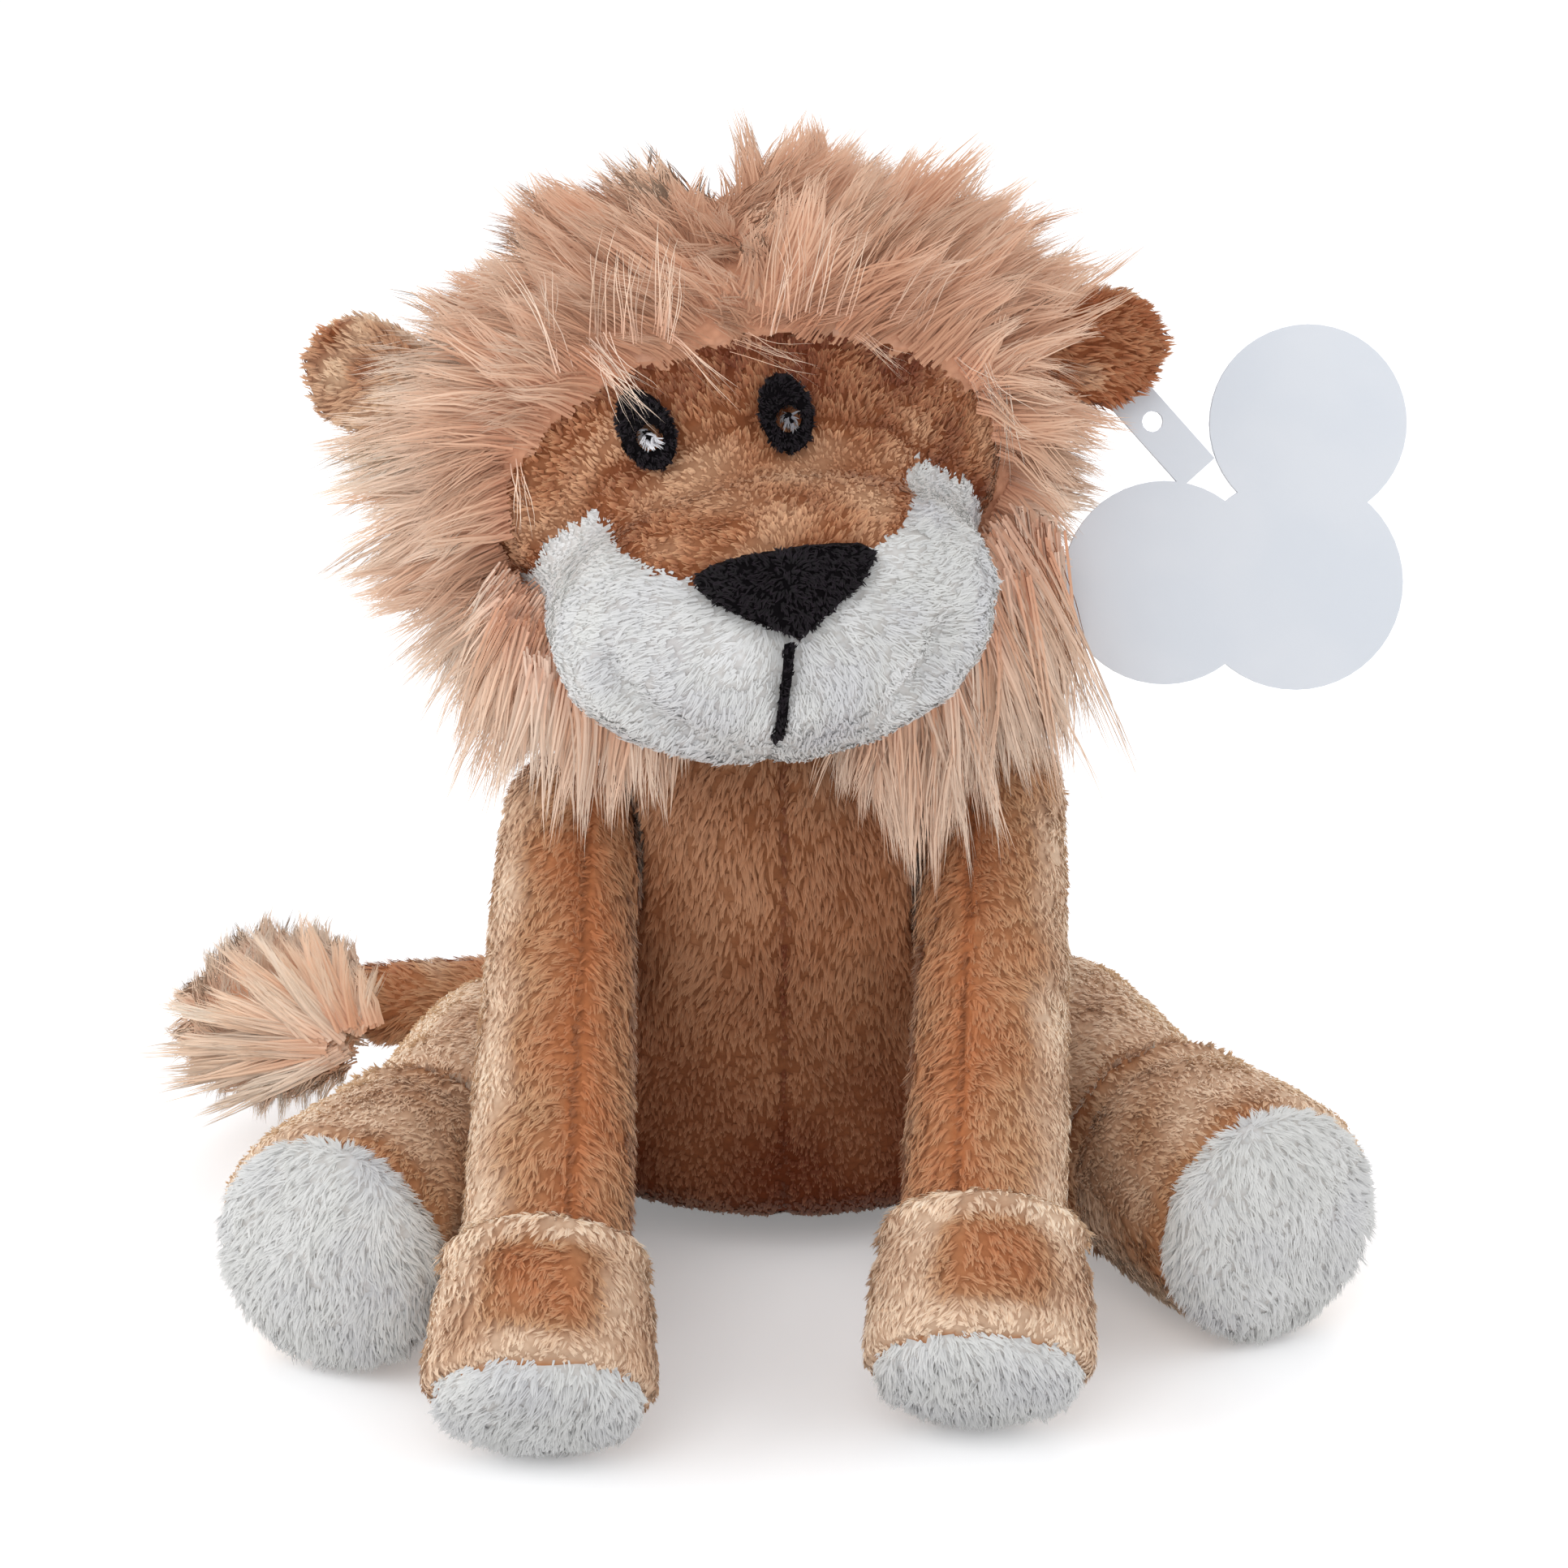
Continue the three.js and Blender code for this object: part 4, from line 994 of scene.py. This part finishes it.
def headRoots(panel, settings, place, normal, gap, clear, there, seed):
    if not panel.startswith("mane"):
        return faceRoots(panel, settings, place, normal, gap, clear, there, seed)
    # the mane's hair points away from the middle of the face, parts on top, and hangs below and behind
    rng = np.random.default_rng(seed + 9)
    local = place - headMiddle
    out = unit(local - headBack * (local @ headBack)[:, None])
    upward, sideways = out @ headUp, local @ headSide
    behind = smoothStep(normal @ headBack, 0.35, 0.9)
    low = smoothStep(-upward, 0.1, 0.9) * (1 - behind)
    onTop, fromPart = smoothStep(upward, 0.7, 0.95), sideways - headFacts["partSide"]
    parted = onTop * np.sign(fromPart)
    parted *= np.exp(-np.abs(fromPart) / (8 * mm))
    along = out * (1 - 0.6 * behind)[:, None] + 0.3 * normal + 0.1 * headBack
    along[:, 2] -= mane["hang"] + mane["hangBehind"] * behind + mane["hangBelow"] * low
    along += mane["parted"] * parted[:, None] * headSide
    along += mane["stray"] * rng.normal(size=place.shape)
    along = unit(along + mane["drift"] * driftWays(place, 17 * mm, seed + 60))
    fromFace = there[:, : len(facePanels)].min(1)
    atFace = mane["atFace"] + (1 - mane["atFace"]) * smoothStep(fromFace, 0, 7 * mm)
    length = atFace * (1 + 0.2 * drift(place, 9 * mm, seed + 70))
    length *= 1.08 - mane["top"] * smoothStep(upward, 0.35, 1) + mane["below"] * low - mane["behind"] * behind
    # shorter in the parting, beside the right ear and behind the tag, and never above the mane's top
    length *= 1 - mane["parting"] * onTop * fade(fromPart, 4.5 * mm)
    length *= 1 - mane["besideEar"] * fade(upward - 0.62, 0.22) * smoothStep(-sideways, 8 * mm, 22 * mm)
    length *= 1 - mane["behindTag"] * smoothStep(sideways, 10 * mm, 25 * mm) * fade(upward + 0.2, 0.35)
    reachUp = (headFacts["ceiling"] - place[:, 2]) / np.maximum(along[:, 2], 0.2)
    length = np.minimum(length, np.maximum(reachUp, 2 * mm) / pileKinds["mane"]["length"])
    if panel == "mane_chin":
        length *= 0.35 + 0.65 * smoothStep(np.abs(sideways), 7 * mm, 16 * mm)
    reach = length * pileKinds["mane"]["length"]
    curl = driftWays(place, 11 * mm, seed + 90)
    # painted shade where the mane meets the face and over its top, and painted light on its right side
    shaded = fade(fromFace, 4 * mm)
    streak = smoothStep(drift(place, 7 * mm, seed + 81), 0.35, 1.1)
    tone = 0.25 * drift(place, 14 * mm, seed + 80) + (0.5 + 0.3 * smoothStep(upward, 0.3, 0.8)) * shaded
    tone += 0.5 * smoothStep(upward, 0.1, 0.9) - 0.5 * streak - 0.35 * smoothStep(-sideways, 15 * mm, 35 * mm)
    return {
        "along": clearOf(place, along, reach),
        "bend": -0.6 * normal + 0.5 * curl + np.array((0, 0, -0.5)),
        "length": length,
        "tone": tone,
    }


# the hair that hangs lies over the torso and the arms
underHair = {"bodies": ("torso", "arm_left", "arm_right"), "room": 1.5 * mm, "push": 4 * mm, "high": 95 * mm}
bodyTree = treeOf([n for body in underHair["bodies"] for n in bodies[body]])


def clearOf(place, along, reach):
    # turns hair that would run into a body under it until it lies over it
    along = along.copy()
    room = underHair["room"]
    for index in range(len(place)):
        if place[index, 2] - reach[index] > underHair["high"]:
            continue
        for _ in range(3):
            for share in (0.5, 0.8, 1.0):
                tip = Vector(place[index] + along[index] * reach[index] * share)
                near, facing, _, away = bodyTree.find_nearest(tip)
                inside = (tip - near).dot(facing)
                if inside < room and away < 12 * mm:
                    push = min(room - inside, underHair["push"]) / (reach[index] * share)
                    along[index] += np.array(facing) * push
        along[index] /= np.linalg.norm(along[index])
    return along


maneSettings = pileOf("mane", "maneHair", "mane", clear=0)
faceSettings = pileOf("face", "facePile", "plush", 1.25, turn=0.4)
cheekSettings = pileOf("white", "whitePile", "white", 1.5, turn=0.3, edge=0.35)
headLook = {
    "voxel": 1.3 * mm, "rounds": 6, "inset": 1.1 * mm, "fill": 0.75,
    "ignore": ("ear_left", "ear_right", "tag", "torso", "arm_left", "arm_right", "neck"),
    "seamDeep": 0.7 * mm, "seamWide": 1.0 * mm,
    "tone": headTone, "shape": headShape, "roots": headRoots,
    "piles": {
        "rest": maneSettings, "face_left": faceSettings, "face_right": faceSettings,
        "bridge": dict(faceSettings, slot="bridge"), "cheek_left": cheekSettings, "cheek_right": cheekSettings,
    },
}
clothedBody("head", facePanels + manePanels, ["head_stuffing"], headLook, 500)

# stitched patches: black pile on the nose, the eyes and the mouth, pale threads for the glints
black = {"paint": "blackPile", "kind": "patch", "slot": "thread", "inset": 0, "tone": 0.0}
eye = dict(black, lean=0.5, length=0.6, inset=0.3)
glint = {"paint": "glintThread", "kind": "thread", "slot": "glint", "lean": 1.2, "inset": 0.35, "tone": 0.0}
stitched = {
    "nose": dict(black, lean=0.95, length=1.0), "eye_left": eye, "eye_right": eye,
    "mouth": dict(black, lean=0.9, length=0.7),
    "glint_left": dict(glint, length=0.8, tone=-0.75), "glint_right": dict(glint, length=1.0),
}
for number, (patch, facts) in enumerate(stitched.items()):
    ground = paddedSkin("ground_" + patch, [patch], 0.45 * mm, 3)
    moveAlong(ground, np.full(len(ground.data.vertices), -facts["inset"] * mm))
    ground.data.materials.append(groundMaterials["blackPile"])
    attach(ground, "head")
    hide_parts(patch)
    kind = pileKinds[facts["kind"]]
    area = sum(p.area for p in ground.data.polygons) / mm / mm
    place, normal, _ = scatterOn(ground.data, int(area * kind["density"]), 700 + number, pointsOf(ground.data))
    keep = normal[:, 1] < -0.1
    place, normal = place[keep], normal[keep]
    spread = place - middleOf(patch) + np.array((0, 0, -0.5 * mm))
    roots = {
        "place": place,
        "normal": normal,
        "along": leaning(place, normal, spread, facts["lean"], 0.8, 740 + number),
        "length": np.full(len(place), facts["length"]),
        "tone": np.full(len(place), facts["tone"]),
    }
    pile = growPile("pile_" + patch, kind, roots, 720 + number)
    pile.data.materials.append(hairMaterials[facts["paint"]])
    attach(pile, "head")


# locks and loose hairs that have a place of their own: a row is from, to, in millimetres, how many tufts, and
# tone; a fan is how many tufts, tone, and the hairs that its tufts are spread between
def growLocks(name, kindName, body, rows, fans, seed, paint="maneHair"):
    kind = pileKinds[kindName]
    rng = np.random.default_rng(seed)
    starts, ends, tones = [], [], []
    for start, end, tufts, tone in rows:
        starts.append(np.tile(start, (tufts, 1)))
        ends.append(np.tile(end, (tufts, 1)))
        tones.append(np.full(tufts, tone))
    for tufts, tone, hairs in fans:
        hairs = np.array(hairs, float)
        at = rng.uniform(0, len(hairs) - 1.001, tufts)
        first, share = at.astype(int), (at % 1)[:, None]
        starts.append(hairs[first, 0] * (1 - share) + hairs[first + 1, 0] * share)
        ends.append(hairs[first, 1] * (1 - share) + hairs[first + 1, 1] * share)
        tones.append(tone + 0.2 * rng.normal(size=tufts))
    starts, ends = np.concatenate(starts) * mm, np.concatenate(ends) * mm
    spread = kind["spread"] * mm
    starts = starts + rng.normal(size=starts.shape) * spread
    ends = ends + rng.normal(size=ends.shape) * spread
    reach = np.linalg.norm(ends - starts, axis=1)
    lift = np.array((0, -0.04, 0.1)) if kindName == "mane" else 0
    ways = unit(unit(ends - starts) + lift)
    onHead = body == "head"
    roots = {
        "place": starts,
        "normal": unit(starts - (headMiddle if onHead else middleOf("tail_tuft"))),
        "along": clearOf(starts, ways, reach) if onHead else ways,
        "length": reach / kind["length"],
        "bend": np.tile((0, -0.3, -1.0 if onHead else 0.6), (len(starts), 1)),
        "tone": np.concatenate(tones) + rng.normal(size=len(starts)) * 0.1,
    }
    pile = growPile(name, kind, roots, seed + 5)
    pile.data.materials.append(hairMaterials[paint])
    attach(pile, body)


wispRows = [
    ((-26, -34.5, 134.5), (-15, -42, 127.5), 4, -0.6), ((-24, -34.5, 136), (-19, -41.5, 126), 2, -0.5),
    ((-14, -36.5, 136.5), (-6.5, -40, 131), 2, -0.4), ((-6, -37, 137), (6, -40, 133), 2, -0.4),
    ((10, -34, 136.5), (20, -36, 130), 2, -0.4), ((27, -22, 128), (31, -24, 116), 6, -0.7),
    ((24, -24, 131), (30, -27, 123), 4, -0.6), ((-36, -31, 118), (-33, -37, 112), 2, -0.4),
]
browFan = [
    ((-31, -32, 131), (-35, -35, 145)), ((-20, -35, 136), (-20, -38, 151)), ((-9, -36, 138), (-6, -38, 152)),
    ((8, -35, 138), (11, -36, 151)), ((20, -30, 136), (28, -31, 146)),
]
ruffRight = [
    ((-14, -33, 88), (-13.5, -32, 72)), ((-18, -33, 88), (-17, -31, 70.5)), ((-23, -33, 89), (-24.5, -29, 70)),
    ((-27, -32, 91), (-29, -27, 71)), ((-30, -31, 93), (-34, -25, 70.5)), ((-32, -30, 95), (-39, -22, 70.5)),
    ((-34, -29, 97), (-43, -19, 74)), ((-35, -28, 99), (-46, -18, 79)), ((-36, -27, 101), (-49, -17, 85)),
]
ruffLeft = [
    ((8, -33, 88), (8, -33, 75)), ((11, -33, 88), (11.5, -32.5, 71)), ((13, -33, 89), (14, -32, 67)),
    ((16, -33, 90), (19, -31, 61.5)), ((18, -32, 91), (22, -30, 64)), ((20, -32, 93), (24.5, -29, 66)),
    ((23, -31, 96), (29, -27, 68)), ((25, -29, 99), (35, -24, 71)), ((27, -27, 103), (40, -21, 73)),
    ((29, -25, 107), (43, -19, 77)),
]
# the same ruff carried back under the sides of the mane
sideRight = [
    ((-36, -25, 101), (-47, -16, 84)), ((-37, -19, 101), (-46, -10, 82)), ((-38, -13, 101), (-45, -5, 80)),
]
sideLeft = [
    ((22, -31, 100), (27, -22, 71)), ((27, -25, 103), (34, -17, 72)), ((31, -20, 104), (39, -12, 74)),
    ((34, -14, 103), (41, -7, 75)),
]
growLocks("locks_wisp", "wisp", "head", wispRows, [(16, -0.3, browFan)], 795)
growLocks("locks_mane", "mane", "head", [], [
    (72, -0.15, ruffRight), (97, -0.15, ruffLeft), (20, -0.3, sideRight), (40, -0.3, sideLeft),
], 796)
print("face stitched")


# Neck

neck = paddedSkin("skin_neck", ["neck_plug"], 1.2 * mm, 3)
neck.data.materials.append(groundMaterials["tanPile"])
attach(neck, "neck")
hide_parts("neck_plug")
print("neck made")


# Ears

for number, side in enumerate(("left", "right")):
    ear = "ear_" + side
    pivot = np.array(joints[ear + "_fold"]["pos_m"])

    def earNap(panel, place, normal, pivot=pivot):
        return unit(place - pivot)

    def earTone(panel, place, normal, gap, pale=0.8 * number):
        return 0.3 * drift(place, 7 * mm, 31) + 0.25 - pale

    earLook = {
        "voxel": 0.9 * mm, "rounds": 4, "inset": 0.4 * mm, "fill": 0.5, "ignore": ("head", "tag", "torso"),
        "seamDeep": 0.2 * mm, "seamWide": 0.8 * mm, "tone": earTone,
        "roots": plushRoots(earNap, earTone),
        "piles": {
            ear + "_back": pileOf("ear", "tanPile", "plush", 1.0, clear=0),
            ear + "_front": pileOf("ear", "earPile", "ear_inside", 1.0, clear=0),
        },
    }
    clothedBody(ear, [ear + "_back", ear + "_front"], [], earLook, 600 + 20 * number)


# Tail

tuftMiddle = middleOf("tail_tuft")
tuftRoot = tuftMiddle + np.array((16 * mm, 0, -2 * mm))


def tailTone(panel, place, normal, gap):
    return 0.3 * drift(place, 9 * mm, 663) + 0.3 * (panel == "tail_tube")


def tailNap(panel, place, normal):
    return np.tile((-1.0, 0.1, 0), (len(place), 1))


tailPlush = plushRoots(tailNap, tailTone)


def tailRoots(panel, settings, place, normal, gap, clear, there, seed):
    if panel == "tail_tube":
        return tailPlush(panel, settings, place, normal, gap, clear, there, seed)
    # the tuft's locks sweep outward from the tube's end, the upper ones turn up at their tips
    rng = np.random.default_rng(seed + 9)
    upward = smoothStep(place[:, 2], tuftMiddle[2] - 6 * mm, tuftMiddle[2] + 8 * mm)
    along = unit(place - tuftRoot) + 0.2 * normal + np.array((-0.5, 0, 0))
    along[:, 2] += 0.5 * upward
    along += 0.08 * rng.normal(size=place.shape)
    curl = driftWays(place, 8 * mm, seed + 90)
    return {
        "along": along + 0.3 * driftWays(place, 11 * mm, seed + 60),
        "bend": 0.4 * curl + np.array((0.1, 0, 1)) * (upward * 1.4 - 0.4)[:, None],
        "length": 0.24 * (1 + 0.3 * drift(place, 6 * mm, seed)),
        # painted light: the tuft's hair is made paler
        "tone": tailTone(panel, place, normal, gap) - 0.35,
    }


# broad pointed locks, each a few tufts that end together
rng = np.random.default_rng(797)
tuftTips = [
    (-59, 17, 28), (-63, 16, 30), (-66, 17, 33), (-72, 17, 36.5), (-75, 16, 33), (-79, 17, 33), (-84, 17, 30.5),
    (-81, 15, 27), (-86, 17, 24), (-88, 15, 21), (-93, 17, 20), (-90, 15, 16), (-95, 17, 14), (-91, 15, 10),
    (-92, 17, 7), (-86, 15, 4), (-80, 14, 26), (-84, 13, 15), (-76, 13, 30), (-70, 14, 32), (-80, 14, 8),
]
# the locks' tone is painted light, paling them
tuftFacts = {"front": 8.5, "higher": 2.3, "narrower": 0.99, "share": 0.16, "tufts": 7, "tone": -0.35}
tuftRows, front = [], tuftFacts["front"]
for tip in tuftTips:
    tip = np.array(tip) * (tuftFacts["narrower"], 1, 1) + (0, front - 16, tuftFacts["higher"])
    start = np.array((-62, front - 1.5, 20.5)) + tuftFacts["share"] * (tip - (-60, front, 21))
    start = start + rng.normal(size=3) * 0.6
    tuftRows.append((start, tip, tuftFacts["tufts"], tuftFacts["tone"] + 0.2 * rng.normal()))
growLocks("locks_tail", "lock", "tail", tuftRows, [], 798, "tuftHair")


def tailShape(points, own, panels):
    # the tube is fuller than its solid where it comes out from behind the leg
    onTube = smoothStep(own[:, 1] - own[:, 0], -1 * mm, 2 * mm)
    return 2.2 * mm * onTube * smoothStep(-points[:, 0], 30 * mm, 45 * mm)


tailLook = {
    "voxel": 0.9 * mm, "rounds": 5, "inset": 0.9 * mm, "fill": 0.6,
    "seamDeep": 0.2 * mm, "seamWide": 0.8 * mm, "tone": tailTone,
    "shape": tailShape, "roots": tailRoots,
    "piles": {
        "tail_tube": pileOf("body", "tanPile", "plush", 1.1),
        "tail_tuft": pileOf("mane", "tuftHair", "mane", clear=0),
    },
}
clothedBody("tail", ["tail_tube", "tail_tuft"], ["tail_core"], tailLook, 660)


# Paper tag

def paperMaterial(name, colour, edge, roughness):
    # card with a faint fibre and cloudy tint, and the smoother plastic of the fastener
    paint, tree, base = newPaint(name)
    place = newNode(tree, "TexCoord").outputs["Object"]
    fibre = newNode(tree, "TexNoise", {"Scale": 900, "Detail": 4, "Vector": place}).outputs["Fac"]
    cloud = newNode(tree, "TexNoise", {"Scale": 60, "Vector": place}).outputs["Fac"]
    feed(tree, mixColours(tree, mapRange(tree, cloud, 0.35, 0.65), colour, edge), base.inputs["Base Color"])
    bump = newNode(tree, "Bump", {"Strength": 0.15, "Distance": 0.0001, "Height": fibre})
    feed(tree, bump.outputs["Normal"], base.inputs["Normal"])
    rough = mapRange(tree, fibre, 0.3, 0.7, roughness - 0.05, roughness + 0.05)
    feed(tree, rough, base.inputs["Roughness"])
    return paint


card = paperMaterial("card", linear(213, 217, 223), linear(209, 214, 221), 0.6)
plastic = paperMaterial("plastic", linear(222, 224, 226), linear(212, 214, 217), 0.35)
for node, paint in (("tag_front", card), ("tag_back", card), ("tag_fastener", plastic)):
    frame["nodes"][node].data.materials.clear()
    frame["nodes"][node].data.materials.append(paint)
print("tag painted")


# What closes the script

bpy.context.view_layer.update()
bpy.context.scene.view_settings.view_transform = "Standard"
total = sum(len(o.data.polygons) for o in bpy.data.objects if o.type == "MESH" and not o.hide_render)
print("done, faces in all:", total)
